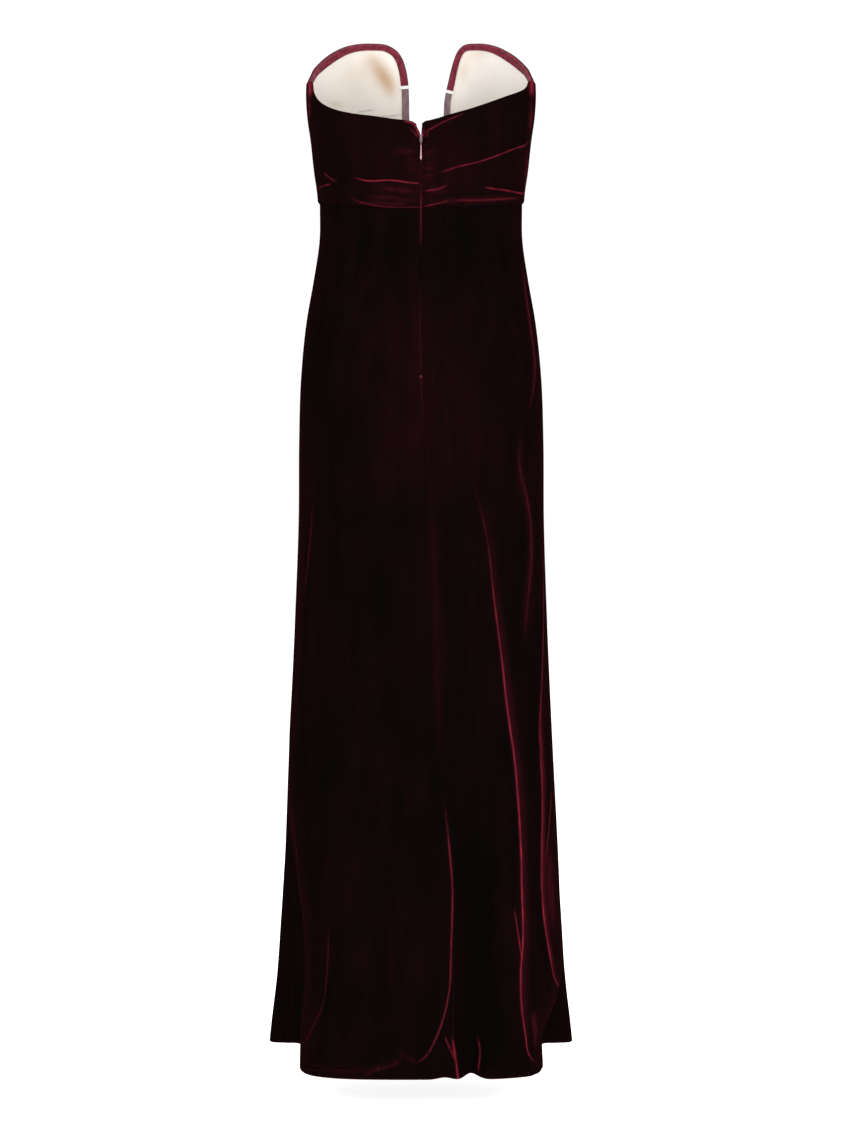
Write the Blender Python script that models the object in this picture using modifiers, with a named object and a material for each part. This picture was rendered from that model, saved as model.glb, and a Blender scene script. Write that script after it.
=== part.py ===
"""Strapless bustier evening gown in velvet, filled out as it is worn.

Metres. +Z is up, +Y is the wearer's front and +X the wearer's right. The origin is on the
body's axis at the waist seam, where the wearer holds the gown. Angles run round the body:
0 at the centre back, 90 degrees at the right side, 180 at the centre front and -90 at the
left side. Left and right of a fold are those of its path, for someone outside the gown.
"""

import math
from collections import namedtuple

import bmesh
import bpy
import numpy as np
from mathutils import Matrix, Vector

# Thickness of the cloth, and the gaps at seams and under the trims that lie on a lining
SKIRT_WALL = 0.0020
BODICE_WALL = 0.0030
LINING_WALL = 0.0012
TRIM_WALL = 0.0009
SEAM_GAP = 0.0003
TRIM_GAP = 0.0006

# Skirt sections. side is the half-width of the front half. Near the hem the back half is a
# narrower lobe on each side, and the step between the two lies at side_y.
SKIRT_COLUMNS = (
    "z", "side", "lobe_left", "lobe_right", "back", "front", "side_y", "back_square", "front_square")
SKIRT_ROWS = (
    (-1.160, 0.2090, 0.1628, 0.1635, 0.180, 0.128, 0.022, 3.8, 2.7),
    (-1.110, 0.2040, 0.1615, 0.1635, 0.174, 0.126, 0.020, 3.5, 2.7),
    (-1.050, 0.1970, 0.1560, 0.1860, 0.166, 0.125, 0.016, 3.1, 2.6),
    (-0.968, 0.1910, 0.1590, 0.1880, 0.156, 0.122, 0.010, 2.8, 2.6),
    (-0.887, 0.1856, 0.1690, 0.1856, 0.146, 0.119, 0.004, 2.6, 2.5),
    (-0.806, 0.1816, 0.1780, 0.1816, 0.139, 0.117, 0.000, 2.5, 2.5),
    (-0.725, 0.1775, 0.1775, 0.1775, 0.134, 0.116, 0.000, 2.5, 2.4),
    (-0.644, 0.1735, 0.1735, 0.1735, 0.131, 0.115, 0.000, 2.4, 2.4),
    (-0.536, 0.1688, 0.1688, 0.1688, 0.130, 0.114, 0.000, 2.4, 2.4),
    (-0.428, 0.1652, 0.1652, 0.1652, 0.132, 0.111, 0.000, 2.4, 2.4),
    (-0.320, 0.1645, 0.1645, 0.1645, 0.137, 0.107, 0.000, 2.3, 2.4),
    (-0.239, 0.1620, 0.1620, 0.1620, 0.134, 0.104, 0.000, 2.3, 2.3),
    (-0.158, 0.1540, 0.1540, 0.1540, 0.122, 0.101, 0.000, 2.3, 2.3),
    (-0.104, 0.1445, 0.1445, 0.1445, 0.111, 0.099, 0.000, 2.3, 2.3),
    (-0.050, 0.1368, 0.1368, 0.1368, 0.0985, 0.097, 0.000, 2.3, 2.3),
    (0.000, 0.1365, 0.1365, 0.1365, 0.0925, 0.096, 0.000, 2.3, 2.3),
)
LOBE_STEP = 0.030

# Bodice sections
BODICE_COLUMNS = ("z", "side", "back", "front")
BODICE_ROWS = (
    (-0.020, 0.1385, 0.0965, 0.0990),
    (0.010, 0.1400, 0.0975, 0.1005),
    (0.042, 0.1445, 0.0990, 0.1040),
    (0.083, 0.1490, 0.1010, 0.1085),
    (0.115, 0.1535, 0.1020, 0.1100),
    (0.145, 0.1552, 0.1020, 0.1090),
    (0.176, 0.1535, 0.1000, 0.1060),
    (0.205, 0.1495, 0.0980, 0.1010),
    (0.240, 0.1410, 0.0950, 0.0940),
)
BODICE_SQUARE = 2.35

# The cups round out from the front of the bodice
CUP_RISE = 0.022
CUP_X = 0.080
CUP_Z = 0.125
CUP_REACH_X = 0.048
CUP_REACH_Z = 0.075
CUP_HOLLOW = 0.035

# The waist seam is level round the front and dips towards the centre back
SEAM_DIP = 0.018
SEAM_DIP_POWER = 1.4

# The back's top edge from the side seam to the zip: distance from the centre, height
BACK_EDGE = {
    "left": ((0.1540, 0.1580), (0.1440, 0.1386), (0.1310, 0.1225), (0.1010, 0.1104), (0.0650, 0.1034),
             (0.0241, 0.0954), (0.0072, 0.0930), (0.0000, 0.0925)),
    "right": ((0.1540, 0.1580), (0.1470, 0.1532), (0.1283, 0.1395), (0.0913, 0.1233), (0.0430, 0.1065),
              (0.0119, 0.0978), (0.0022, 0.0942), (0.0000, 0.0940)),
}
# The front's top edge from the side seam over the cup, and on down the notch
CUP_EDGE = ((0.1550, 0.1580), (0.1510, 0.1764), (0.1472, 0.1865), (0.1408, 0.1962), (0.1317, 0.2066),
            (0.1198, 0.2163), (0.1025, 0.2257), (0.0735, 0.2312))
NOTCH_EDGE = {
    "left": ((0.0500, 0.2288), (0.0388, 0.2213), (0.0333, 0.2133), (0.0277, 0.1970), (0.0250, 0.1808),
             (0.0236, 0.1562), (0.0232, 0.1320), (0.0205, 0.1060), (0.0120, 0.0880), (0.0000, 0.0820)),
    "right": ((0.0527, 0.2288), (0.0444, 0.2213), (0.0402, 0.2133), (0.0347, 0.1970), (0.0305, 0.1808),
              (0.0250, 0.1562), (0.0234, 0.1320), (0.0205, 0.1060), (0.0120, 0.0880), (0.0000, 0.0820)),
}
# As it is worn, the notch sits a little to the right. The shift fades towards the cups'
# sides, the back and the waist.
NOTCH_SHIFT = 0.0080
SHIFT_FADE_X = 0.120
SHIFT_FADE_Y = 0.060
SHIFT_FADE_Z = 0.080

# A front panel's columns fan out upwards: share of the top edge, share of the waist seam
FAN = ((0.0, 0.0), (0.40, 0.56), (0.62, 0.80), (1.0, 1.0))

# The zip is open above its slider: height, and how far each back half stops from the centre
ZIP_COLUMNS = ("z", "left", "right")
ZIP_ROWS = (
    (0.0560, 0.00015, 0.00015),
    (0.0620, 0.0012, 0.0012),
    (0.0660, 0.0021, 0.0021),
    (0.0810, 0.0022, 0.0021),
    (0.0870, 0.0048, 0.0022),
    (0.0950, 0.0072, 0.0022),
)

# The skirt's centre back seam drifts to the right as it drops: height, x
SEAM_ROWS = (
    (-1.1600, 0.0484),
    (-1.0945, 0.0410),
    (-0.9880, 0.0399),
    (-0.9046, 0.0380),
    (-0.7832, 0.0280),
    (-0.6164, 0.0190),
    (-0.4295, 0.0100),
    (-0.3251, 0.0040),
    (-0.2400, 0.0000),
    (0.0000, 0.0000),
)

# The hem's height by degrees from the centre back
HEM_COLUMNS = ("degrees", "z")
HEM_ROWS = (
    (0.0, -1.1530),
    (40.0, -1.1540),
    (62.0, -1.1570),
    (80.0, -1.1560),
    (87.0, -1.1460),
    (94.0, -1.1365),
    (180.0, -1.1340),
)
# Small tucks lift the hem near the centre back: x, rise, reach
HEM_TUCKS = ((0.0310, 0.003, 0.012), (0.0665, 0.008, 0.012))

# A fold is a soft ridge along a path of x and z, or a trough where its rise is negative. It
# reaches to the left and right of the path, and starts and ends over a share of its length.
Fold = namedtuple("Fold", "rise left right start end path")
SKIRT_FOLDS = {
    "back": (
        Fold(0.011, 0.016, 0.045, 0.45, 0.00, (
            (0.063, -0.360), (0.087, -0.455), (0.109, -0.613), (0.125, -0.741), (0.133, -0.876),
            (0.134, -0.979), (0.135, -1.103), (0.140, -1.160))),
        Fold(0.012, 0.014, 0.040, 0.35, 0.20, (
            (0.022, -0.700), (0.036, -0.852), (0.040, -0.905), (0.039, -0.988), (0.036, -1.040),
            (0.029, -1.075), (0.019, -1.102), (0.007, -1.122), (-0.012, -1.136))),
        Fold(-0.015, 0.034, 0.026, 0.50, 0.00, (
            (0.070, -0.760), (0.076, -0.900), (0.074, -1.030), (0.068, -1.160))),
        Fold(0.010, 0.013, 0.013, 0.60, 0.00, ((0.040, -1.070), (0.044, -1.121), (0.048, -1.160))),
        Fold(0.010, 0.016, 0.013, 0.60, 0.00, ((0.088, -1.060), (0.089, -1.116), (0.087, -1.160))),
        Fold(0.004, 0.013, 0.022, 0.35, 0.35, (
            (0.129, -0.352), (0.138, -0.404), (0.142, -0.472), (0.138, -0.541), (0.136, -0.620))),
        Fold(0.007, 0.014, 0.022, 0.30, 0.30, (
            (0.164, -0.500), (0.159, -0.657), (0.157, -0.700), (0.164, -0.760), (0.160, -0.830),
            (0.157, -0.925), (0.168, -0.996), (0.174, -1.040))),
        Fold(0.010, 0.045, 0.018, 0.45, 0.15, (
            (-0.105, -0.830), (-0.118, -0.957), (-0.119, -1.019), (-0.126, -1.069),
            (-0.140, -1.099), (-0.153, -1.118))),
        Fold(0.004, 0.030, 0.014, 0.40, 0.40, ((-0.144, -0.430), (-0.149, -0.560), (-0.156, -0.700))),
        Fold(0.006, 0.012, 0.014, 0.30, 0.25, (
            (-0.150, -1.143), (-0.118, -1.142), (-0.074, -1.139), (-0.040, -1.132), (-0.015, -1.121))),
    ),
    "front": (
        Fold(0.010, 0.042, 0.020, 0.45, 0.00, (
            (-0.050, -0.300), (-0.085, -0.550), (-0.105, -0.850), (-0.118, -1.160))),
        Fold(0.009, 0.018, 0.036, 0.45, 0.00, (
            (0.020, -0.420), (0.030, -0.700), (0.022, -0.950), (0.030, -1.160))),
        Fold(0.009, 0.020, 0.040, 0.45, 0.00, (
            (0.085, -0.360), (0.115, -0.620), (0.135, -0.880), (0.140, -1.160))),
        Fold(-0.012, 0.026, 0.030, 0.55, 0.00, ((-0.040, -0.750), (-0.046, -0.950), (-0.042, -1.160))),
        Fold(-0.010, 0.026, 0.024, 0.55, 0.00, ((0.085, -0.780), (0.088, -0.950), (0.085, -1.160))),
    ),
}
# The folds leave the skirt smooth for this far below the waist, and swell over the reach
SMOOTH_BELOW = 0.060
SMOOTH_REACH = 0.200

# Folds of the back bodice, and of one front half, where x is the distance from the centre
BACK_FOLDS = (
    Fold(0.003, 0.006, 0.009, 0.15, 0.40, ((0.003, 0.079), (0.025, 0.092), (0.060, 0.106))),
    Fold(0.005, 0.006, 0.014, 0.15, 0.10, (
        (0.006, 0.024), (0.043, 0.035), (0.079, 0.046), (0.116, 0.062), (0.143, 0.079))),
    Fold(0.003, 0.005, 0.006, 0.20, 0.40, ((0.006, 0.005), (0.036, 0.014))),
    Fold(0.005, 0.005, 0.010, 0.30, 0.10, ((0.082, 0.009), (0.105, 0.008), (0.136, 0.012))),
    Fold(0.005, 0.012, 0.006, 0.15, 0.25, (
        (-0.006, 0.015), (-0.038, 0.018), (-0.072, 0.019), (-0.089, 0.025), (-0.104, 0.030))),
    Fold(0.003, 0.006, 0.007, 0.30, 0.30, ((-0.110, 0.019), (-0.130, 0.037))),
    Fold(0.003, 0.009, 0.009, 0.15, 0.40, (
        (-0.006, 0.050), (-0.028, 0.056), (-0.058, 0.064), (-0.094, 0.080))),
)
FRONT_FOLDS = (
    Fold(0.0035, 0.009, 0.009, 0.10, 0.20, ((0.001, 0.010), (0.040, 0.014), (0.085, 0.010), (0.130, 0.014))),
    Fold(0.0040, 0.010, 0.010, 0.10, 0.20, ((0.001, 0.032), (0.045, 0.044), (0.095, 0.050), (0.140, 0.046))),
    Fold(0.0040, 0.010, 0.010, 0.10, 0.25, ((0.001, 0.055), (0.040, 0.082), (0.085, 0.108), (0.140, 0.118))),
    Fold(0.0030, 0.009, 0.009, 0.10, 0.30, ((0.022, 0.100), (0.050, 0.135), (0.090, 0.165), (0.135, 0.172))),
)
# Short gathers run out from both sides of the centre back and centre front seams: height,
# length, slope, rise
BACK_GATHERS = (
    (-0.008, 0.034, -0.05, 0.0024),
    (0.004, 0.030, 0.15, 0.0026),
    (0.024, 0.038, 0.10, 0.0028),
    (0.033, 0.028, 0.25, 0.0024),
    (0.042, 0.034, 0.20, 0.0026),
    (0.054, 0.026, 0.35, 0.0022),
)
FRONT_GATHERS = (
    (0.004, 0.030, 0.10, 0.0024),
    (0.021, 0.028, 0.20, 0.0026),
    (0.043, 0.030, 0.40, 0.0026),
    (0.066, 0.026, 0.70, 0.0024),
)
GATHER_START = 0.003
GATHER_REACH = 0.0045

# Trims inside the cups. The facing's width goes by share of its length from the side.
FACING_COLUMNS = ("share", "width")
FACING_ROWS = ((0.0, 0.0030), (0.12, 0.0065), (0.35, 0.0105), (0.55, 0.0080), (1.0, 0.0085))
CASING_WIDTH = 0.0086
LINING_INSET = 0.0015
TAB_WIDTH = 0.0115
TAB_LENGTH = 0.0062
TAB_HEIGHT = {"left": 0.1735, "right": 0.1680}

# The zip's tape reaches down past this many rows of the skirt, and a little short of the top
TAPE_WIDTH = 0.0240
TAPE_SKIRT_ROWS = 6
TAPE_TOP = 0.0900

# The zip's slider, with the bar between its lugs that carries the pull
SLIDER_WIDTH = 0.0034
SLIDER_BOTTOM = 0.0683
SLIDER_TOP = 0.0790
SLIDER_PROUD = 0.0008
SLIDER_ROUND = 0.0006
BAR_HEIGHT = 0.0712
BAR_OUT = 0.0020
BAR_RADIUS = 0.0005
LUG_OUT = 0.0013
LUG_WIDTH = 0.0006
LUG_HEIGHT = 0.0018
EYE_HOLE = 0.0008
EYE_RADIUS = 0.0015
EYE_LENGTH = 0.0017
PULL_WALL = 0.0012
# The pull's outline: distance below the bar, half-width
PULL_ROWS = (
    (0.0010, 0.0008),
    (0.0060, 0.0009),
    (0.0130, 0.0012),
    (0.0190, 0.0017),
    (0.0225, 0.0020),
    (0.0246, 0.0018),
    (0.0257, 0.0011),
    (0.0262, 0.0003),
)

# How finely the cloth is divided
SKIRT_HIGH = 26
SKIRT_BACK_ACROSS = 21
SKIRT_FRONT_ACROSS = 27
BACK_HIGH = 8
BACK_ACROSS = 13
FRONT_HIGH = 13
FRONT_ACROSS = 23
FACING_LONG = 26
CASING_LONG = 14

COLLECTION = "bustier_evening_gown"
GUIDES = "guides"
SIGN = {"left": -1.0, "right": 1.0}
SIDE = math.radians(90.0)
FRONT = math.radians(180.0)


def hermite(at, knots, values):
    """A smooth curve through the values at rising knots, level beyond its ends."""
    knots, values = np.asarray(knots, float), np.asarray(values, float)
    slopes = np.gradient(values, knots)
    i = np.clip(np.searchsorted(knots, at) - 1, 0, len(knots) - 2)
    step = knots[i + 1] - knots[i]
    t = np.clip((at - knots[i]) / step, 0.0, 1.0)
    rise = values[i + 1] - values[i]
    bend = (1 - t) * (slopes[i] * step - rise) + t * (rise - slopes[i + 1] * step)
    return values[i] + t * rise + t * (1 - t) * bend


def columns_at(columns, rows, at):
    """Each further column of a table, where its first column has this value."""
    return [hermite(at, [row[0] for row in rows], [row[k] for row in rows]) for k in range(1, len(columns))]


def ease(t):
    t = np.clip(t, 0.0, 1.0)
    return t * t * (3.0 - 2.0 * t)


def mix(first, second, share):
    return first + (second - first) * share


def squircle(a, square):
    """The sine and cosine of a, pushed out towards a square."""
    s, c = np.sin(a), np.cos(a)
    r = (np.abs(s) ** square + np.abs(c) ** square) ** (-1.0 / square)
    return s * r, c * r


def skirt_form(a, z):
    """The skirt without its folds."""
    side, lobe_left, lobe_right, back, front, side_y, back_square, front_square = columns_at(
        SKIRT_COLUMNS, SKIRT_ROWS, z)
    s, c = squircle(a, mix(back_square, front_square, ease(0.5 - 2.0 * np.cos(a))))
    y = side_y - c * np.where(c > 0, back + side_y, front - side_y)
    lobe = np.where(s > 0, lobe_right, lobe_left)
    x = s * mix(lobe, side, ease(0.5 + (y - side_y) / LOBE_STEP))
    return np.stack([x, y, z], -1)


def bodice_form(a, z):
    """The bodice without its folds: a round body with a cup on each side of the front."""
    side, back, front = columns_at(BODICE_COLUMNS, BODICE_ROWS, z)
    s, c = squircle(a, BODICE_SQUARE)
    x = side * s
    cup = np.exp(-(((np.abs(x) - CUP_X) / CUP_REACH_X) ** 2) - ((z - CUP_Z) / CUP_REACH_Z) ** 2)
    hollow = 1.0 - np.exp(-((x / CUP_HOLLOW) ** 2))
    y = CUP_RISE * cup * hollow * ease(-2.0 * c) - c * np.where(c > 0, back, front)
    return np.stack([x, y, z], -1)


def steps(form, a, z):
    """How a point of a form moves for each radian of a and each metre of z."""
    e = 1e-4
    return (form(a + e, z) - form(a - e, z)) / (2 * e), (form(a, z + e) - form(a, z - e)) / (2 * e)


def unit(vectors):
    return vectors / np.linalg.norm(vectors, axis=-1, keepdims=True)


def outward(form, a, z):
    return unit(np.cross(*steps(form, a, z)))


def turn_of(form, a, z, distance):
    """The angle that a distance takes round a form."""
    return distance / np.linalg.norm(steps(form, a, z)[0], axis=-1)


def angles_at(form, half, path):
    """The angle of each point of a path of x and z on the front or back half of a form."""
    turns = np.linspace(-SIDE, SIDE, 361) if half == "back" else np.linspace(FRONT + SIDE, SIDE, 361)
    return np.array([np.interp(x, form(turns, np.full(turns.shape, z))[:, 0], turns) for x, z in path])


def run_along(points):
    """The distance along a line of points, from its start."""
    return np.concatenate([[0.0], np.cumsum(np.linalg.norm(np.diff(points, axis=0), axis=1))])


def lift_of(form, half, fold, point, normal):
    """How far one fold lifts each point of a form."""
    path = np.asarray(fold.path)
    run = run_along(path)
    at = np.linspace(0.0, run[-1], 5 * len(path))
    fine = np.stack([hermite(at, run, path[:, 0]), hermite(at, run, path[:, 1])], -1)
    line = form(angles_at(form, half, fine), fine[:, 1])
    step = np.diff(line, axis=0)
    from_start = point[..., None, :] - line[:-1]
    t = np.clip((from_start * step).sum(-1) / (step * step).sum(-1), 0.0, 1.0)
    aside = from_start - t[..., None] * step
    distance = np.linalg.norm(aside, axis=-1)
    nearest = distance.argmin(-1)[..., None]
    turned = (np.cross(step, aside) * normal[..., None, :]).sum(-1)
    distance, t, turned = (np.take_along_axis(v, nearest, -1)[..., 0] for v in (distance, t, turned))
    share = (nearest[..., 0] + t) / len(step)
    started = ease(share / fold.start) if fold.start else 1.0
    unfinished = ease((1.0 - share) / fold.end) if fold.end else 1.0
    reach = np.where(turned > 0, fold.left, fold.right)
    return fold.rise * started * unfinished * np.exp(-((distance / reach) ** 2))


def folded(form, folds, strength, a, z):
    """A form's points with its folds, and its normals without them. strength scales the folds at a point."""
    point, normal = form(a, z), outward(form, a, z)
    lift = sum(lift_of(form, half, fold, point, normal) for half in folds for fold in folds[half])
    return point + normal * (lift * strength(point))[..., None], normal


def gathers(rows):
    """Short folds on both sides of a centre seam."""
    return tuple(
        Fold(rise, GATHER_REACH, GATHER_REACH, 0.2, 0.7, (
            (sign * GATHER_START, z),
            (sign * length / 2, z + 0.4 * slope * length),
            (sign * length, z + slope * length)))
        for sign in SIGN.values()
        for z, length, slope, rise in rows)


def on_both_halves(folds):
    return tuple(
        fold._replace(path=[(sign * x, z) for x, z in fold.path]) for sign in SIGN.values() for fold in folds)


def skirt_surface(a, z):
    """The skirt with its folds, smooth below the waist."""
    return folded(skirt_form, SKIRT_FOLDS, lambda p: ease((-SMOOTH_BELOW - p[..., 2]) / SMOOTH_REACH), a, z)


def bodice_surface(a, z):
    """The bodice with its folds, held flat along the centre seams."""
    folds = {
        "back": BACK_FOLDS + gathers(BACK_GATHERS),
        "front": on_both_halves(FRONT_FOLDS) + gathers(FRONT_GATHERS),
    }
    return folded(bodice_form, folds, lambda p: ease(np.abs(p[..., 0]) / (2 * GATHER_START)), a, z)


def waist_seam(a):
    return -SEAM_DIP * np.clip(np.cos(a), 0.0, 1.0) ** SEAM_DIP_POWER


def hem(a):
    """The hem's height at each angle, with the tucks near the centre back."""
    around = np.degrees(np.abs((a + FRONT) % (2 * FRONT) - FRONT))
    (height,) = columns_at(HEM_COLUMNS, HEM_ROWS, around)
    x = skirt_form(a, np.full(a.shape, HEM_ROWS[0][1]))[..., 0]
    for place, rise, reach in HEM_TUCKS:
        height = height + rise * np.exp(-(((x - place) / reach) ** 2)) * (np.cos(a) > 0)
    return height


def back_edge(side, a):
    """The height of the back's top edge at each angle from the centre back."""
    path = BACK_EDGE[side][::-1]
    turns = angles_at(bodice_form, "back", path)
    turns[-1] = SIDE
    return hermite(a, turns, [z for _, z in path])


def cup_edge(side, shares):
    """Angles and heights at these shares of a front half's top edge, from the side seam to the centre."""
    path = CUP_EDGE + NOTCH_EDGE[side]
    turns = angles_at(bodice_form, "front", path)
    turns[0], turns[-1] = SIDE, FRONT
    heights = np.array([z for _, z in path])
    run = run_along(bodice_form(turns, heights))
    return hermite(shares * run[-1], run, turns), hermite(shares * run[-1], run, heights)


def within_seams(a, z):
    """Keeps a front half's points between its side seam and the centre front."""
    first = SIDE + turn_of(bodice_form, np.full(z.shape, SIDE), z, SEAM_GAP / 2)
    last = FRONT - turn_of(bodice_form, np.full(z.shape, FRONT), z, SEAM_GAP / 2)
    return np.clip(a, first, last), z


def inside_edge(side, shares, distances):
    """Angles and heights at distances in from a front half's top edge, square to it.

    There is a column for each share of the edge and a row for each distance.
    """
    a, z = cup_edge(side, shares)
    around, up = steps(bodice_form, a, z)
    inward = unit(np.cross(np.gradient(bodice_form(a, z), axis=0), np.cross(around, up)))
    moves = (np.linalg.pinv(np.stack([around, up], -1)) @ inward[..., None])[..., 0]
    return within_seams(a + distances * moves[:, 0], z + distances * moves[:, 1])


def as_worn(points):
    """Points of the front bodice with the notch where it sits."""
    x, y, z = points[..., 0], points[..., 1], points[..., 2]
    inner = np.clip(1.0 - (x / SHIFT_FADE_X) ** 2, 0.0, 1.0) ** 2
    shift = NOTCH_SHIFT * inner * ease(y / SHIFT_FADE_Y) * ease(z / SHIFT_FADE_Z)
    return np.stack([x + shift, y, z], -1)


def front_grid(side, inset):
    """Angles and heights of a front half, its columns fanning out from the waist seam to the top edge.

    The inset moves only the top and bottom rows, so that a lining's other rows match its panel's.
    """
    shares = np.linspace(0.0, 1.0, FRONT_ACROSS)
    edge_a, edge_z = cup_edge(side, shares)
    low_a = mix(SIDE, FRONT, np.interp(shares, *zip(*FAN)))
    up = np.linspace(0.0, 1.0, FRONT_HIGH)[:, None]
    a, z = mix(low_a, edge_a, up), mix(SEAM_GAP / 2, edge_z, up)
    a[-1], z[-1] = inside_edge(side, shares, inset)
    z[0] += inset
    return within_seams(a, z)


def finish(name, colour, roughness, metallic=0.0):
    material = bpy.data.materials.new(name)
    material.use_nodes = True
    shader = material.node_tree.nodes["Principled BSDF"]
    shader.inputs["Base Color"].default_value = (*colour, 1.0)
    shader.inputs["Roughness"].default_value = roughness
    shader.inputs["Metallic"].default_value = metallic
    return material


def placed(name, data, collection=COLLECTION, material=None):
    obj = bpy.data.objects.new(name, data)
    if material:
        data.materials.append(material)
    bpy.data.collections[collection].objects.link(obj)
    return obj


def cloth(name, outer, inner, material):
    """One closed wall between an outer and an inner grid of points.

    All cells are split along the same diagonal, so that walls on the same grid stay parallel.
    """
    count = outer.shape[0] * outer.shape[1]
    index = np.arange(count).reshape(outer.shape[:2])
    corners = (index[:-1, :-1], index[:-1, 1:], index[1:, :-1], index[1:, 1:])
    low, right, up, far = (corner.ravel() for corner in corners)
    sheet = np.concatenate([np.stack([low, right, far], -1), np.stack([low, far, up], -1)])
    border = np.concatenate([index[0, :-1], index[:-1, -1], index[-1, :0:-1], index[:0:-1, 0]])
    after = np.roll(border, -1)
    rim = np.concatenate([
        np.stack([after, border, border + count], -1),
        np.stack([after, border + count, after + count], -1)])
    faces = np.concatenate([sheet, sheet[:, ::-1] + count, rim])
    points = np.concatenate([outer.reshape(-1, 3), inner.reshape(-1, 3)])
    mesh = bpy.data.meshes.new(name)
    mesh.from_pydata(points.tolist(), [], faces.tolist())
    work = bmesh.new()
    work.from_mesh(mesh)
    bmesh.ops.recalc_face_normals(work, faces=work.faces)
    work.to_mesh(mesh)
    work.free()
    mesh.shade_smooth()
    mesh.set_sharp_from_angle(angle=math.radians(50.0))
    placed(name, mesh, material=material)


def skirt_panel(name, first_seam, last_seam, across, material):
    """A skirt panel between two seams, given as functions from height to angle."""
    share = np.linspace(0.0, 1.0, across)[None, :]
    drop = np.linspace(0.0, 1.0, SKIRT_HIGH)[:, None]
    z = np.zeros((SKIRT_HIGH, across))
    for _ in range(4):
        first, last = first_seam(z), last_seam(z)
        first = first + turn_of(skirt_form, first, z, SEAM_GAP / 2)
        last = last - turn_of(skirt_form, last, z, SEAM_GAP / 2)
        a = mix(first, last, share)
        z = mix(waist_seam(a) - SEAM_GAP / 2, hem(a), drop)
    outer, normal = skirt_surface(a, z)
    cloth(name, outer, outer - normal * SKIRT_WALL, material)


def skirt(material):
    heights = [z for z, _ in SEAM_ROWS]
    turns = angles_at(skirt_form, "back", [(x, z) for z, x in SEAM_ROWS])

    def centre_back(z):
        return hermite(z, heights, turns)

    def side_seam(turn):
        return lambda z: np.full(z.shape, turn)

    skirt_panel("skirt_back_left", side_seam(-SIDE), centre_back, SKIRT_BACK_ACROSS, material)
    skirt_panel("skirt_back_right", centre_back, side_seam(SIDE), SKIRT_BACK_ACROSS, material)
    skirt_panel("skirt_front", side_seam(SIDE), side_seam(FRONT + SIDE), SKIRT_FRONT_ACROSS, material)


def zip_heights():
    """Heights of the rows of a back half where it meets the zip."""
    gap_heights = [row[0] for row in ZIP_ROWS]
    return np.concatenate([np.linspace(-SEAM_DIP, gap_heights[0], BACK_HIGH)[:-1], gap_heights])


def bodice_back(side, material):
    """One half of the back bodice, from the zip to the side seam."""
    share = np.linspace(0.0, 1.0, BACK_ACROSS)[None, :] ** 1.25
    heights = zip_heights()
    up = ((heights + SEAM_DIP) / (heights[-1] + SEAM_DIP))[:, None]
    z = mix(waist_seam(SIDE * share) + SEAM_GAP / 2, back_edge(side, SIDE * share), up)
    opening = columns_at(ZIP_COLUMNS, ZIP_ROWS, z)[ZIP_COLUMNS.index(side) - 1]
    first = turn_of(bodice_form, np.zeros(z.shape), z, opening)
    last = SIDE - turn_of(bodice_form, np.full(z.shape, SIDE), z, SEAM_GAP / 2)
    outer, normal = bodice_surface(SIGN[side] * mix(first, last, share), z)
    cloth("bodice_back_" + side, outer, outer - normal * BODICE_WALL, material)


def bodice_front(side, material):
    a, z = front_grid(side, 0.0)
    outer, normal = bodice_surface(SIGN[side] * a, z)
    cloth("bodice_front_" + side, as_worn(outer), as_worn(outer - normal * BODICE_WALL), material)


def inlay(name, side, grid, depth, wall, material):
    """A piece inside a front half, its outer face this deep below the bodice's form."""
    a, z = grid
    point = bodice_form(SIGN[side] * a, z)
    normal = outward(bodice_form, SIGN[side] * a, z)
    cloth(name, as_worn(point - normal * depth), as_worn(point - normal * (depth + wall)), material)


def cup_trims(side, lining, facing, casing, tab):
    """The lining of a cup, and on it the facing, the casing of the notch and the tab over their ends."""
    depth = BODICE_WALL + SEAM_GAP
    inlay("cup_lining_" + side, side, front_grid(side, LINING_INSET), depth, LINING_WALL, lining)
    shares = np.linspace(0.0, 1.0, 2001)
    turns, heights = cup_edge(side, shares)
    length = run_along(bodice_form(turns, heights))[-1]
    past_top = heights.argmax()
    middle = shares[past_top + (heights[past_top:] < TAB_HEIGHT[side]).argmax()]
    gap, half_tab = TRIM_GAP / length, TAB_LENGTH / 2 / length
    across = np.linspace(0.0, 1.0, 3)[:, None]

    depth += LINING_WALL + TRIM_GAP
    along = np.linspace(0.0, middle - gap, FACING_LONG)
    (widths,) = columns_at(FACING_COLUMNS, FACING_ROWS, along / middle)
    inlay("edge_facing_" + side, side, inside_edge(side, along, across * widths), depth, TRIM_WALL, facing)
    along = np.linspace(middle + gap, 1.0, CASING_LONG)
    casing_grid = inside_edge(side, along, across * CASING_WIDTH)
    inlay("notch_casing_" + side, side, casing_grid, depth, TRIM_WALL, casing)

    depth += TRIM_WALL + TRIM_GAP
    along = np.linspace(middle - half_tab, middle + half_tab, 3)
    inlay("tab_" + side, side, inside_edge(side, along, across * TAB_WIDTH), depth, TRIM_WALL, tab)


def depth_behind(form, x, z):
    """How far behind the body's axis a form lies at each x and z of its back."""
    turns = angles_at(form, "back", np.stack([x.ravel(), z.ravel()], -1)).reshape(x.shape)
    return -form(turns, z)[..., 1]


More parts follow.
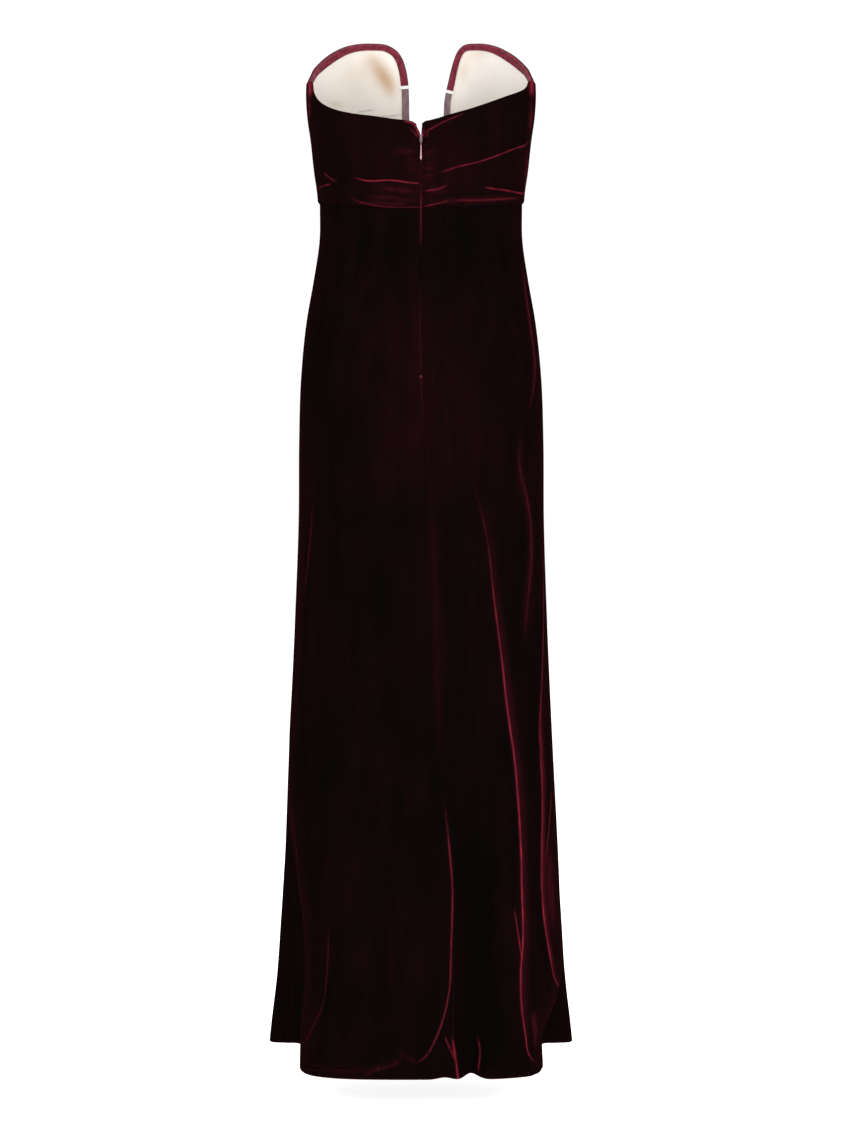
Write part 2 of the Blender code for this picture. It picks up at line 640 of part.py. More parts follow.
def zip_tape(material):
    """The tape behind the centre back, close under the skirt and then the bodice."""
    skirt_rows = mix(-SEAM_DIP, hem(np.zeros(1)), np.linspace(0.0, 1.0, SKIRT_HIGH))[:TAPE_SKIRT_ROWS]
    bodice_rows = zip_heights()
    rows = np.concatenate([skirt_rows[:0:-1], bodice_rows[bodice_rows < TAPE_TOP]])
    x, z = np.meshgrid(np.linspace(-TAPE_WIDTH / 2, TAPE_WIDTH / 2, 4), rows)
    under_skirt = depth_behind(skirt_form, x, z) - SKIRT_WALL - SEAM_GAP
    under_bodice = depth_behind(bodice_form, x, z) - BODICE_WALL - SEAM_GAP
    at_seam = np.abs(rows + SEAM_DIP).argmin()
    step = (under_bodice - under_skirt)[at_seam]
    above = under_bodice - step * (1.0 - ease((z + SEAM_DIP) / SMOOTH_BELOW))
    depth = np.where(z < -SEAM_DIP, under_skirt, above)
    outer = np.stack([x, -depth, z], -1)
    cloth("zip_tape", outer, outer + np.array([0.0, TRIM_WALL, 0.0]), material)


def mesh_of(name, work):
    mesh = bpy.data.meshes.new(name)
    work.to_mesh(mesh)
    work.free()
    return mesh


def block(name, low, high, **place):
    """A box between two corners."""
    low, high = Vector(low), Vector(high)
    work = bmesh.new()
    bmesh.ops.create_cube(work, size=1.0, matrix=Matrix.LocRotScale((low + high) / 2, None, high - low))
    return placed(name, mesh_of(name, work), **place)


def rod(name, centre, radius, length, sides, **place):
    """A round rod that lies along X."""
    work = bmesh.new()
    turned = Matrix.Translation(centre) @ Matrix.Rotation(SIDE, 4, "Y")
    bmesh.ops.create_cone(work, cap_ends=True, segments=sides, radius1=radius, radius2=radius, depth=length,
                          matrix=turned)
    mesh = mesh_of(name, work)
    mesh.shade_smooth()
    mesh.set_sharp_from_angle(angle=math.radians(40.0))
    return placed(name, mesh, **place)


def combined(obj, operation, other):
    """Joins another solid to an object, or cuts it away, and hides that other one."""
    modifier = obj.modifiers.new(operation.lower(), "BOOLEAN")
    modifier.operation = operation
    modifier.object = other
    modifier.solver = "EXACT"
    other.hide_render = True
    other.display_type = "WIRE"


def zip_slider(y_in, y_out, bar, metal):
    """The slider between the two halves of the back, with two lugs and a bar."""
    half = SLIDER_WIDTH / 2
    body = block("zip_slider", (-half, y_out, SLIDER_BOTTOM), (half, y_in, SLIDER_TOP), material=metal)
    rounding = body.modifiers.new("rounding", "BEVEL")
    rounding.width = SLIDER_ROUND
    rounding.segments = 3
    lug_reach = Vector((0.0, LUG_HEIGHT / 2, LUG_HEIGHT / 2))
    for side, sign in SIGN.items():
        near, far = sign * LUG_OUT, sign * (LUG_OUT + LUG_WIDTH)
        low = Vector((min(near, far), bar.y, bar.z)) - lug_reach
        high = Vector((max(near, far), y_out + SLIDER_ROUND, bar.z + LUG_HEIGHT / 2))
        combined(body, "UNION", block("lug_" + side, low, high, collection=GUIDES))
    combined(body, "UNION", rod("bar", bar, BAR_RADIUS, 2 * LUG_OUT + LUG_WIDTH, 16, collection=GUIDES))


def zip_pull(bar, metal):
    """A flat drop that hangs by a round eye from the slider's bar. Its origin is on the bar."""
    outline = [(half, -below) for below, half in PULL_ROWS]
    outline += [(-x, z) for x, z in reversed(outline)]
    curve = bpy.data.curves.new("pull_outline", "CURVE")
    curve.dimensions = "2D"
    curve.fill_mode = "BOTH"
    curve.extrude = PULL_WALL / 2
    spline = curve.splines.new("POLY")
    spline.points.add(len(outline) - 1)
    for point, (x, z) in zip(spline.points, outline):
        point.co = (x, z, 0.0, 1.0)
    spline.use_cyclic_u = True
    drawn = placed("pull_outline", curve, GUIDES)
    mesh = bpy.data.meshes.new_from_object(drawn.evaluated_get(bpy.context.evaluated_depsgraph_get()))
    bpy.data.objects.remove(drawn)
    mesh.transform(Matrix.Rotation(SIDE, 4, "X"))
    work = bmesh.new()
    work.from_mesh(mesh)
    bmesh.ops.remove_doubles(work, verts=work.verts, dist=1e-6)
    bmesh.ops.recalc_face_normals(work, faces=work.faces)
    work.to_mesh(mesh)
    work.free()
    mesh.name = "zip_pull"
    pull = placed("zip_pull", mesh, material=metal)
    pull.location = bar
    combined(pull, "UNION", rod("eye", bar, EYE_RADIUS, EYE_LENGTH, 24, collection=GUIDES))
    combined(pull, "DIFFERENCE", rod("eye_hole", bar, EYE_HOLE, 3 * EYE_LENGTH, 24, collection=GUIDES))


def zip_fastening(tape, metal, coated):
    zip_tape(tape)
    face = depth_behind(bodice_form, np.zeros(1), np.array([SLIDER_TOP]))[0]
    y_in, y_out = -(face - BODICE_WALL), -(face + SLIDER_PROUD)
    bar = Vector((0.0, y_out - BAR_OUT, BAR_HEIGHT))
    zip_slider(y_in, y_out, bar, metal)
    zip_pull(bar, coated)


def main():
    for obj in list(bpy.data.objects):
        bpy.data.objects.remove(obj)
    for name in (COLLECTION, GUIDES):
        bpy.context.scene.collection.children.link(bpy.data.collections.new(name))
    velvet = finish("wine_velvet", (0.085, 0.008, 0.018), 0.85)
    cream = finish("cream_lining", (0.82, 0.74, 0.64), 0.60)
    burgundy = finish("burgundy_facing", (0.16, 0.015, 0.035), 0.70)
    mauve = finish("mauve_casing", (0.20, 0.12, 0.14), 0.70)
    white = finish("white_tab", (0.90, 0.88, 0.85), 0.60)
    tape = finish("wine_tape", (0.05, 0.008, 0.015), 0.75)
    metal = finish("painted_slider", (0.30, 0.16, 0.19), 0.40, 0.3)
    coated = finish("painted_pull", (0.48, 0.26, 0.30), 0.35, 0.3)
    skirt(velvet)
    for side in SIGN:
        bodice_back(side, velvet)
        bodice_front(side, velvet)
        cup_trims(side, cream, burgundy, mauve, white)
    zip_fastening(tape, metal, coated)


main()
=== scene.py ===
import math
from collections import namedtuple

import bmesh
import bpy
import numpy as np
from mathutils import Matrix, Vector


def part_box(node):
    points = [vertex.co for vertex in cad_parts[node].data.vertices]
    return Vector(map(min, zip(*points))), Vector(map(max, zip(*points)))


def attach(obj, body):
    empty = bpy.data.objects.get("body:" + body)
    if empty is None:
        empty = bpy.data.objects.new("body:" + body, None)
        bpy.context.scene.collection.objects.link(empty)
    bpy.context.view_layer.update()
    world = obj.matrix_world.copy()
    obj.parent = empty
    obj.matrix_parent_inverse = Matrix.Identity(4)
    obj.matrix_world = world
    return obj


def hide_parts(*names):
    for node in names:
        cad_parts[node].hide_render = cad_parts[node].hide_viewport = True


# A strapless velvet gown, seen from the back. Angles run round the body: 0 centre back,
# 90 degrees the right side, 180 centre front, -90 the left side.
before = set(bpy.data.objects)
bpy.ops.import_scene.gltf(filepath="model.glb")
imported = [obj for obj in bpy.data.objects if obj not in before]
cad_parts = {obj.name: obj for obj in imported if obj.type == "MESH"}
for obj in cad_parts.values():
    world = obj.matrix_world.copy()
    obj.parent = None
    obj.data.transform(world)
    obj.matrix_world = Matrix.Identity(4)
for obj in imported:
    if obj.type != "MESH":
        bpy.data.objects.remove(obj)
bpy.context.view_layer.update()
print("frame loaded")

sides = {"left": -1.0, "right": 1.0}
sideTurn = math.radians(90.0)
frontTurn = math.radians(180.0)
mm = 0.001
turnSteps, shareSteps = 361, 901
smallStep = 1e-4
finer = 5  # points that a smoothed path has for each one given
farReach = 3.0  # beyond this many reaches a line does nothing
seamGap = 0.00004
seamLap, lapReach = 0.0006, 0.0020
thinEdge = 0.00015
sharpAngle = math.radians(55.0)
solving = 4  # passes that settle a grid whose borders depend on each other

# A line over the cloth: how much, how far to the left and right of it, the share of its
# length over which it starts and ends, and its path of x and z
Line = namedtuple("Line", "amount left right start end path")


def pathOf(path):
    # a ridge by its name, or x and z by turns, in millimetres
    if isinstance(path, str):
        return ridges[path]
    return tuple((x * mm, z * mm) for x, z in zip(path[::2], path[1::2]))


def linesOf(rows, each=1.0):
    # rows in the order of a line, with reaches in millimetres
    return tuple(Line(amount * each, left * mm, right * mm, start, end, pathOf(path))
                 for amount, left, right, start, end, path in rows)


def hermite(at, knots, values):
    knots, values = np.asarray(knots, float), np.asarray(values, float)
    slopes = np.gradient(values, knots)
    i = np.clip(np.searchsorted(knots, at) - 1, 0, len(knots) - 2)
    step = knots[i + 1] - knots[i]
    t = np.clip((at - knots[i]) / step, 0.0, 1.0)
    rise = values[i + 1] - values[i]
    bend = (1 - t) * (slopes[i] * step - rise) + t * (rise - slopes[i + 1] * step)
    return values[i] + t * rise + t * (1 - t) * bend


def columnsAt(rows, at):
    knots, *columns = zip(*rows)
    return [hermite(at, knots, column) for column in columns]


def ease(t):
    t = np.clip(t, 0.0, 1.0)
    return t * t * (3.0 - 2.0 * t)


def bell(distance, reach):
    return np.exp(-((distance / reach) ** 2))


def mix(first, second, share):
    return first + (second - first) * share


def squircle(a, square):
    s, c = np.sin(a), np.cos(a)
    r = (np.abs(s) ** square + np.abs(c) ** square) ** (-1.0 / square)
    return s * r, c * r


def stepsOf(form, a, z):
    e = smallStep
    return (form(a + e, z) - form(a - e, z)) / (2 * e), (form(a, z + e) - form(a, z - e)) / (2 * e)


def unit(vectors):
    return vectors / np.maximum(np.linalg.norm(vectors, axis=-1, keepdims=True), 1e-12)


def outward(form, a, z):
    return unit(np.cross(*stepsOf(form, a, z)))


def turnOf(form, a, z, distance):
    return distance / np.linalg.norm(stepsOf(form, a, z)[0], axis=-1)


def anglesAt(form, half, path):
    ends = (-sideTurn, sideTurn) if half == "back" else (3 * sideTurn, sideTurn)
    turns = np.linspace(*ends, turnSteps)
    return np.array([np.interp(x, form(turns, np.full(turns.shape, z))[:, 0], turns) for x, z in path])


def runAlong(points):
    return np.concatenate([[0.0], np.cumsum(np.linalg.norm(np.diff(points, axis=0), axis=1))])


def smoothPath(path):
    path = np.asarray(path)
    run = runAlong(path)
    at = np.linspace(0.0, run[-1], finer * len(path))
    return np.stack([hermite(at, run, path[:, 0]), hermite(at, run, path[:, 1])], -1)


def liftOf(form, half, line, point, normal):
    fine = smoothPath(line.path)
    track = form(anglesAt(form, half, fine), fine[:, 1])
    far = farReach * max(line.left, line.right)
    near = np.all((point > track.min(0) - far) & (point < track.max(0) + far), axis=-1)
    lift = np.zeros(point.shape[:-1])
    if not near.any():
        return lift
    step = np.diff(track, axis=0)
    fromStart = point[near][:, None, :] - track[:-1]
    t = np.clip((fromStart * step).sum(-1) / (step * step).sum(-1), 0.0, 1.0)
    aside = fromStart - t[..., None] * step
    distance = np.linalg.norm(aside, axis=-1)
    nearest = distance.argmin(-1)[..., None]
    turned = (np.cross(step, aside) * normal[near][:, None, :]).sum(-1)
    distance, t, turned = (np.take_along_axis(v, nearest, -1)[..., 0] for v in (distance, t, turned))
    share = (nearest[..., 0] + t) / len(step)
    started = ease(share / line.start) if line.start else 1.0
    unfinished = ease((1.0 - share) / line.end) if line.end else 1.0
    reach = np.where(turned > 0, line.left, line.right)
    lift[near] = line.amount * started * unfinished * bell(distance, reach)
    return lift


def allLines(form, lines, point, normal):
    return sum(liftOf(form, half, line, point, normal) for half in lines for line in lines[half])


waves = ((5.0, 9.0), (9.0, 14.0), (14.0, 6.0), (21.0, 11.0))  # round the body, and along it


def ripple(a, z, seed, size):
    # a slow unevenness of hanging cloth
    rng = np.random.default_rng(seed)
    total = 0.0
    for around, along in waves:
        total = total + np.sin(around * a + along * z + rng.uniform(0, 6.28)) * rng.uniform(0.5, 1.0)
    return total * size / len(waves)


def newTree(name, kind, inputs, outputs):
    # a node group with its sockets, and those sockets as seen from inside
    tree = bpy.data.node_groups.new(name, kind)
    for way, sockets in (("INPUT", inputs), ("OUTPUT", outputs)):
        for label, socketKind in sockets.items():
            tree.interface.new_socket(label, in_out=way, socket_type="NodeSocket" + socketKind)
    return tree, tree.nodes.new("NodeGroupInput").outputs, tree.nodes.new("NodeGroupOutput").inputs


def joined(tree, kind, links=None, **values):
    # a node with its properties and plain socket values set, and its inputs linked
    node = tree.nodes.new(kind)
    for key, value in values.items():
        setattr(node, key, value)
    for key, value in (links or {}).items():
        if isinstance(value, bpy.types.NodeSocket):
            tree.links.new(value, node.inputs[key])
        else:
            node.inputs[key].default_value = value
    return node


def noise(tree, place, scale, detail, **more):
    links = {"Vector": place, "Scale": scale, "Detail": detail, **more}
    return joined(tree, "ShaderNodeTexNoise", links).outputs["Fac"]


def reckoned(tree, operation, *values, clamp=False):
    links = dict(enumerate(values))
    return joined(tree, "ShaderNodeMath", links, operation=operation, use_clamp=clamp).outputs[0]


def ranged(tree, value, *limits):
    links = dict(zip(("From Min", "From Max", "To Min", "To Max"), limits))
    return joined(tree, "ShaderNodeMapRange", {"Value": value, **links}).outputs[0]


def blended(tree, share, first, second, blend="MIX"):
    links = {0: share, 6: first, 7: second}
    return joined(tree, "ShaderNodeMix", links, data_type="RGBA", blend_type=blend).outputs[2]


def stretched(tree, place, scale):
    return joined(tree, "ShaderNodeMapping", {"Vector": place, "Scale": scale}).outputs[0]


def ownPlace(tree):
    return joined(tree, "ShaderNodeTexCoord").outputs["Object"]


def clothGroup(name, inputs):
    return newTree(name, "ShaderNodeTree", {"Vector": "Vector", **inputs},
                   {"Color": "Color", "Height": "Float", "Roughness": "Float"})


def pileGroup():
    # velvet pile: slow clouds where it was stroked, a fine grain, and painted highlights along folds, where
    # the shine attribute, broken into streaks, lightens the colour towards the painted sheen colour
    tree, given, out = clothGroup("velvetPile", {
        "Deep": "Color", "Nap and sheen": "Color", "Shine": "Float", "Clouds": "Float", "Cloud depth": "Float",
        "Grain": "Float", "Grain depth": "Float", "Sheen streaks": "Vector"})
    place = given["Vector"]
    clouds = noise(tree, place, given["Clouds"], 4.0, Roughness=0.6)
    drag = noise(tree, stretched(tree, place, (1.0, 1.0, 0.12)), 60.0, 3.0)
    level = ranged(tree, reckoned(tree, "MULTIPLY", clouds, drag), 0.15, 0.38, 0.0, given["Cloud depth"])
    broken = noise(tree, stretched(tree, place, given["Sheen streaks"]), 170.0, 4.0)
    # painted highlight: the shine, broken into streaks along its length
    glow = reckoned(tree, "MULTIPLY", given["Shine"], ranged(tree, broken, 0.3, 0.7, 0.45, 1.45))
    grain = noise(tree, place, given["Grain"], 2.0)
    uneven = reckoned(tree, "SUBTRACT", grain, 0.5)
    grained = reckoned(tree, "MULTIPLY_ADD", uneven, given["Grain depth"], 1.0)
    shown = reckoned(tree, "MULTIPLY", reckoned(tree, "ADD", level, glow), grained, clamp=True)
    colour = blended(tree, shown, given["Deep"], given["Nap and sheen"])
    for socket, end in zip((colour, grain, ranged(tree, shown, 0.0, 1.0, 0.95, 0.7)), out):
        tree.links.new(socket, end)
    return tree


def weaveGroup():
    # plain woven thread, in metres on the piece's own map, with slow unevenness
    tree, given, out = clothGroup("plainWeave", {"Light": "Color", "Dark": "Color", **{
        key: "Float" for key in ("Across", "Along", "Thread depth", "Blotch", "Blotch depth")}})
    bands = {"Vector": given["Vector"], "Distortion": 0.4, "Detail": 1.0, "Detail Scale": 0.3}
    warp, weft = (joined(tree, "ShaderNodeTexWave", {**bands, "Scale": given[key]}, wave_type="BANDS",
                         bands_direction=way) for key, way in (("Across", "X"), ("Along", "Y")))
    threads = reckoned(tree, "MULTIPLY", warp.outputs["Fac"], weft.outputs["Fac"])
    blotch = noise(tree, given["Vector"], given["Blotch"], 4.0)
    low = reckoned(tree, "SUBTRACT", 1.0, threads)
    byThread = reckoned(tree, "MULTIPLY", low, given["Thread depth"])
    byBlotch = reckoned(tree, "MULTIPLY", ranged(tree, blotch, 0.32, 0.68, 0.0, 1.0), given["Blotch depth"])
    shade = reckoned(tree, "ADD", byThread, byBlotch, clamp=True)
    colour = blended(tree, shade, given["Light"], given["Dark"])
    for socket, end in zip((colour, threads, ranged(tree, blotch, 0.3, 0.7, 0.5, 0.7)), out):
        tree.links.new(socket, end)
    return tree


# Colours are in linear light
velvet = {
    # Nap and sheen is the painted highlight colour of pile catching the light; the slow clouds mix towards
    # it too
    "pile": {"Deep": (0.0022, 0.0013, 0.0013, 1.0), "Nap and sheen": (0.200, 0.014, 0.028, 1.0), "Clouds": 9.0,
             "Cloud depth": 0.012, "Grain": 900.0, "Grain depth": 0.5},
    "surface": {"Sheen Weight": 0.02, "Sheen Roughness": 0.35, "Sheen Tint": (0.60, 0.05, 0.09, 1.0),
                "Specular IOR Level": 0.0},
    "bump": (0.25, 0.0004),
}
weaveKeys = ("Light", "Dark", "Across", "Along", "Thread depth", "Blotch", "Blotch depth")
weaves = {  # the same in order, and the sheen
    "liningCream": ((0.99, 0.945, 0.880, 1), (0.80, 0.72, 0.63, 1), 700, 700, 0.12, 22, 0.12, 0.02),
    "facingBurgundy": ((0.300, 0.024, 0.054, 1), (0.045, 0.004, 0.008, 1), 420, 420, 0.20, 150, 0.75, 0.05),
    "casingMauve": ((0.290, 0.195, 0.212, 1), (0.105, 0.060, 0.072, 1), 380, 520, 0.30, 80, 0.55, 0.05),
    "tabWhite": ((0.92, 0.90, 0.88, 1), (0.70, 0.67, 0.64, 1), 600, 600, 0.15, 60, 0.15, 0.02),
    "tapeWine": ((0.060, 0.008, 0.016, 1), (0.014, 0.002, 0.004, 1), 400, 400, 0.50, 60, 0.30, 0.02),
    "velvetBacking": ((0.070, 0.006, 0.014, 1), (0.020, 0.002, 0.004, 1), 450, 450, 0.50, 30, 0.40, 0.02),
}
# painted shade over the lining: greyer low in the cup, tan patches and thin creases
paintedShades = {"liningCream": {"lowShade": (0.62, 0.60, 0.585, 1), "tan": (0.60, 0.42, 0.28, 1),
                         "creaseShade": (0.45, 0.42, 0.38, 1)}}
pile, weave = pileGroup(), weaveGroup()
finishes = {}


def newMaterial(name, constants):
    material = finishes[name] = bpy.data.materials.new(name)
    material.use_nodes = True
    shader = material.node_tree.nodes["Principled BSDF"].inputs
    for key, value in constants.items():
        shader[key].default_value = value
    return material.node_tree, shader


def dressed(tree, shader, colour, rough, height, strength, distance):
    bump = joined(tree, "ShaderNodeBump", {"Strength": strength, "Distance": distance, "Height": height})
    for key, socket in (("Base Color", colour), ("Roughness", rough), ("Normal", bump.outputs[0])):
        if socket is not None:
            tree.links.new(socket, shader[key])


def velvetFinish(name, sheenStreaks):
    tree, shader = newMaterial(name, velvet["surface"])
    shine = joined(tree, "ShaderNodeAttribute", attribute_name="shine").outputs["Fac"]
    given = {"Vector": ownPlace(tree), "Shine": shine, "Sheen streaks": sheenStreaks, **velvet["pile"]}
    cloth = joined(tree, "ShaderNodeGroup", given, node_tree=pile).outputs
    dressed(tree, shader, cloth["Color"], cloth["Roughness"], cloth["Height"], *velvet["bump"])


def wovenFinish(name):
    *values, sheen = weaves[name]
    tree, shader = newMaterial(name, {"Sheen Weight": sheen, "Specular IOR Level": 0.2})
    place = joined(tree, "ShaderNodeUVMap", uv_map="UVMap").outputs[0]
    cloth = joined(tree, "ShaderNodeGroup", {"Vector": place, **dict(zip(weaveKeys, values))},
                   node_tree=weave).outputs
    colour = cloth["Color"]
    for tone, value in paintedShades.get(name, {}).items():
        # painted shade multiplied over the cloth, each by its own attribute
        share = joined(tree, "ShaderNodeAttribute", attribute_name=tone).outputs["Fac"]
        colour = blended(tree, share, colour, value, "MULTIPLY")
    dressed(tree, shader, colour, cloth["Roughness"], cloth["Height"], 0.3, 0.0002)


def paintedFinish(name, colour, worn):
    # enamel on a small metal part, rubbed a little at random
    tree, shader = newMaterial(name, {"Metallic": 0.25, "Coat Weight": 0.3, "Coat Roughness": 0.2})
    rub = noise(tree, ownPlace(tree), 700.0, 3.0)
    shown = blended(tree, ranged(tree, rub, 0.55, 0.75), colour, worn)
    dressed(tree, shader, shown, ranged(tree, rub, 0.3, 0.7, 0.3, 0.5), rub, 0.1, 0.0001)


def threadFinish(name, colour, dark):
    tree, shader = newMaterial(name, {"Sheen Weight": 0.05, "Specular IOR Level": 0.15, "Roughness": 0.6})
    twist = noise(tree, ownPlace(tree), 2500.0, 1.0)
    dressed(tree, shader, blended(tree, twist, dark, colour), None, twist, 0.2, 0.0001)


# the painted highlight streaks run upright on the skirt and across on the ruched bodice
velvetFinish("wineVelvet", (1.8, 1.8, 0.16))
velvetFinish("ruchedVelvet", (0.3, 0.3, 1.0))
for name in weaves:
    wovenFinish(name)
paintedFinish("sliderPaintAndPullShade", (0.16, 0.075, 0.095, 1), (0.28, 0.18, 0.20, 1))
paintedFinish("pullPaint", (0.38, 0.19, 0.23, 1), (0.56, 0.40, 0.43, 1))
threadFinish("wineThread", (0.16, 0.02, 0.035, 1), (0.05, 0.006, 0.012, 1))
threadFinish("mauveThread", (0.30, 0.21, 0.23, 1), (0.14, 0.09, 0.10, 1))
print("finishes made:", len(finishes))


def runsOf(points, axis):
    step = np.linalg.norm(np.diff(points, axis=axis), axis=-1)
    start = np.zeros_like(np.take(step, [0], axis=axis))
    return np.concatenate([start, np.cumsum(step, axis=axis)], axis=axis)


def edgesDressed(point, normal, wall, edges, laps):
    # the outer and inner face of the cloth: free edges are round, seams sink in, and behind
    # a seam the inner face moves on a little, so that no light comes through
    across, down = runsOf(point, 1), runsOf(point, 0)
    distance = {"first": across, "last": across[:, -1:] - across, "top": down, "bottom": down[-1:] - down}
    drop, rise = np.zeros(point.shape[:2]), np.zeros(point.shape[:2])
    for border, (kind, depth, reach) in edges.items():
        if kind == "round":
            t = np.clip(1.0 - distance[border] / reach, 0.0, 1.0)
            bend = 1.0 - np.sqrt(1.0 - t * t)
            drop = np.maximum(drop, depth * bend)
            rise = np.maximum(rise, (wall - depth - thinEdge) * bend)
        else:
            drop = np.maximum(drop, depth * bell(distance[border], reach))
    inner = point - normal * (wall - rise)[..., None]
    aside = unit(np.gradient(point, axis=1))
    for border, lap in laps.items():
        inner = inner + aside * (lap * bell(distance[border], lapReach))[..., None]
    return point - normal * drop[..., None], inner, distance


def placed(name, mesh, materials):
    for material in materials:
        mesh.materials.append(finishes[material])
    obj = bpy.data.objects.new(name, mesh)
    bpy.context.scene.collection.objects.link(obj)
    return obj


def shell(name, outer, inner, shades, materials):
    # one closed wall between two grids of points, with a map in metres
    rows, columns = outer.shape[:2]
    count = rows * columns
    index = np.arange(count).reshape(rows, columns)
    sheet = np.stack([index[:-1, :-1], index[:-1, 1:], index[1:, 1:], index[1:, :-1]], -1).reshape(-1, 4)
    border = np.concatenate([index[0, :-1], index[:-1, -1], index[-1, :0:-1], index[:0:-1, 0]])
    after = np.roll(border, -1)
    rim = np.stack([after, border, border + count, after + count], -1)
    faces = np.concatenate([sheet, sheet[:, ::-1] + count, rim])
    points = np.concatenate([outer.reshape(-1, 3), inner.reshape(-1, 3)])
    a, b, c, d = (points[faces[:, k]] for k in range(4))
    if (a * np.cross(b, c)).sum() + (a * np.cross(c, d)).sum() < 0:
        faces = faces[:, ::-1]
    mesh = bpy.data.meshes.new(name)
    mesh.from_pydata(points.tolist(), [], faces.tolist())
    kinds = np.concatenate([np.zeros(len(sheet), int), np.ones(len(sheet), int), np.zeros(len(rim), int)])
    mesh.polygons.foreach_set("material_index", np.minimum(kinds, len(materials) - 1))
    across, down = runsOf(outer, 1), runsOf(outer, 0)
    across = across - across[:, -1:] / 2
    place = np.stack([across, down], -1).reshape(-1, 2)
    place = np.concatenate([place, place])[faces.reshape(-1)]
    mesh.uv_layers.new(name="UVMap").data.foreach_set("uv", place.astype(np.float32).ravel())
    for shade, values in shades.items():
        mesh.attributes.new(shade, "FLOAT", "POINT").data.foreach_set(
            "value", np.tile(values.reshape(-1), 2).astype(np.float32))
    mesh.shade_smooth()
    mesh.set_sharp_from_angle(angle=sharpAngle)
    mesh.update()
    return placed(name, mesh, materials)


def stoodFor(obj, slot, *nodes):
    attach(obj, "gown")
    if nodes:
        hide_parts(*nodes)


def graded(count, steps, pace=None):
    # shares of the way across, and the distances in from both borders, close together there
    steps = np.asarray(steps)
    inner = np.linspace(0.0, 1.0, count)[1:-1]
    if pace is not None:
        inner = np.interp(inner, *zip(*pace))
    k, margin = len(steps), steps[-1]
    share = np.concatenate([np.zeros(k), inner, np.ones(k)])
    first = np.concatenate([steps, margin * (1 - inner), np.zeros(k)])
    last = np.concatenate([np.zeros(k), margin * inner, steps[::-1]])
    return share, first, last


def repeatTree():
    # small rounded pieces set at a pitch along curves
    tree, given, out = newTree("repeatAlong", "GeometryNodeTree", {
        "Geometry": "Geometry", "Pitch": "Float", "Length": "Float", "Radius": "Float", "Turned": "Float",
        "Unevenness": "Float", "Seed": "Int", "Finish": "Material"}, {"Geometry": "Geometry"})
    points = joined(tree, "GeometryNodeCurveToPoints", {
        "Curve": given["Geometry"], "Length": given["Pitch"]}, mode="LENGTH").outputs
    bead = joined(tree, "GeometryNodeMeshUVSphere", {"Segments": 6, "Rings": 5, "Radius": 1.0}).outputs[0]
    half = reckoned(tree, "MULTIPLY", given["Length"], 0.5)
    size = joined(tree, "ShaderNodeCombineXYZ", {0: given["Radius"], 1: given["Radius"], 2: half}).outputs[0]
    low = reckoned(tree, "SUBTRACT", 1.0, given["Unevenness"])
    vary = joined(tree, "FunctionNodeRandomValue", {2: low, 3: 1.0, "Seed": given["Seed"]},
                  data_type="FLOAT").outputs[1]
    scaled = joined(tree, "ShaderNodeVectorMath", {0: size, "Scale": vary}, operation="SCALE")
    angles = joined(tree, "ShaderNodeCombineXYZ", {0: given["Turned"]}).outputs[0]
    turning = joined(tree, "FunctionNodeEulerToRotation", {0: angles}).outputs[0]
    turned = joined(tree, "FunctionNodeRotateRotation", {0: points["Rotation"], 1: turning},
                    rotation_space="LOCAL").outputs[0]
    shape = joined(tree, "GeometryNodeInstanceOnPoints", {
        "Points": points["Points"], "Instance": bead, "Rotation": turned, "Scale": scaled.outputs[0]})
    for kind in ("GeometryNodeRealizeInstances", "GeometryNodeSetShadeSmooth", "GeometryNodeSetMaterial"):
        shape = joined(tree, kind, {0: shape.outputs[0]})
    tree.links.new(given["Finish"], shape.inputs["Material"])
    tree.links.new(shape.outputs[0], out[0])
    return tree


repeatAlong = repeatTree()
unevenness = 0.12


def setAlong(name, paths, values, finish, slot, seed=1, turned=0.0):
    curve = bpy.data.curves.new(name, "CURVE")
    curve.dimensions = "3D"
    for path in paths:
        spline = curve.splines.new("POLY")
        spline.points.add(len(path) - 1)
        spline.points.foreach_set("co", np.c_[path, np.ones(len(path))].astype(np.float32).ravel())
    guide = bpy.data.objects.new(name + "Guide", curve)
    bpy.context.scene.collection.objects.link(guide)
    modifier = guide.modifiers.new("repeat", "NODES")
    modifier.node_group = repeatAlong
    given = dict(zip(("Pitch", "Length", "Radius"), values), Turned=turned, Unevenness=unevenness,
                 Seed=seed, Finish=finishes[finish])
    for item in repeatAlong.interface.items_tree:
        if item.item_type == "SOCKET" and item.in_out == "INPUT" and item.name in given:
            modifier[item.identifier] = given[item.name]
    bpy.context.view_layer.update()
    graph = bpy.context.evaluated_depsgraph_get()
    mesh = bpy.data.meshes.new_from_object(guide.evaluated_get(graph))
    guide.modifiers.remove(modifier)
    bpy.data.objects.remove(guide)
    obj = bpy.data.objects.new(name, mesh)
    bpy.context.scene.collection.objects.link(obj)
    stoodFor(obj, slot)
    print(f"  {name}: {len(mesh.polygons)} faces")
    return obj


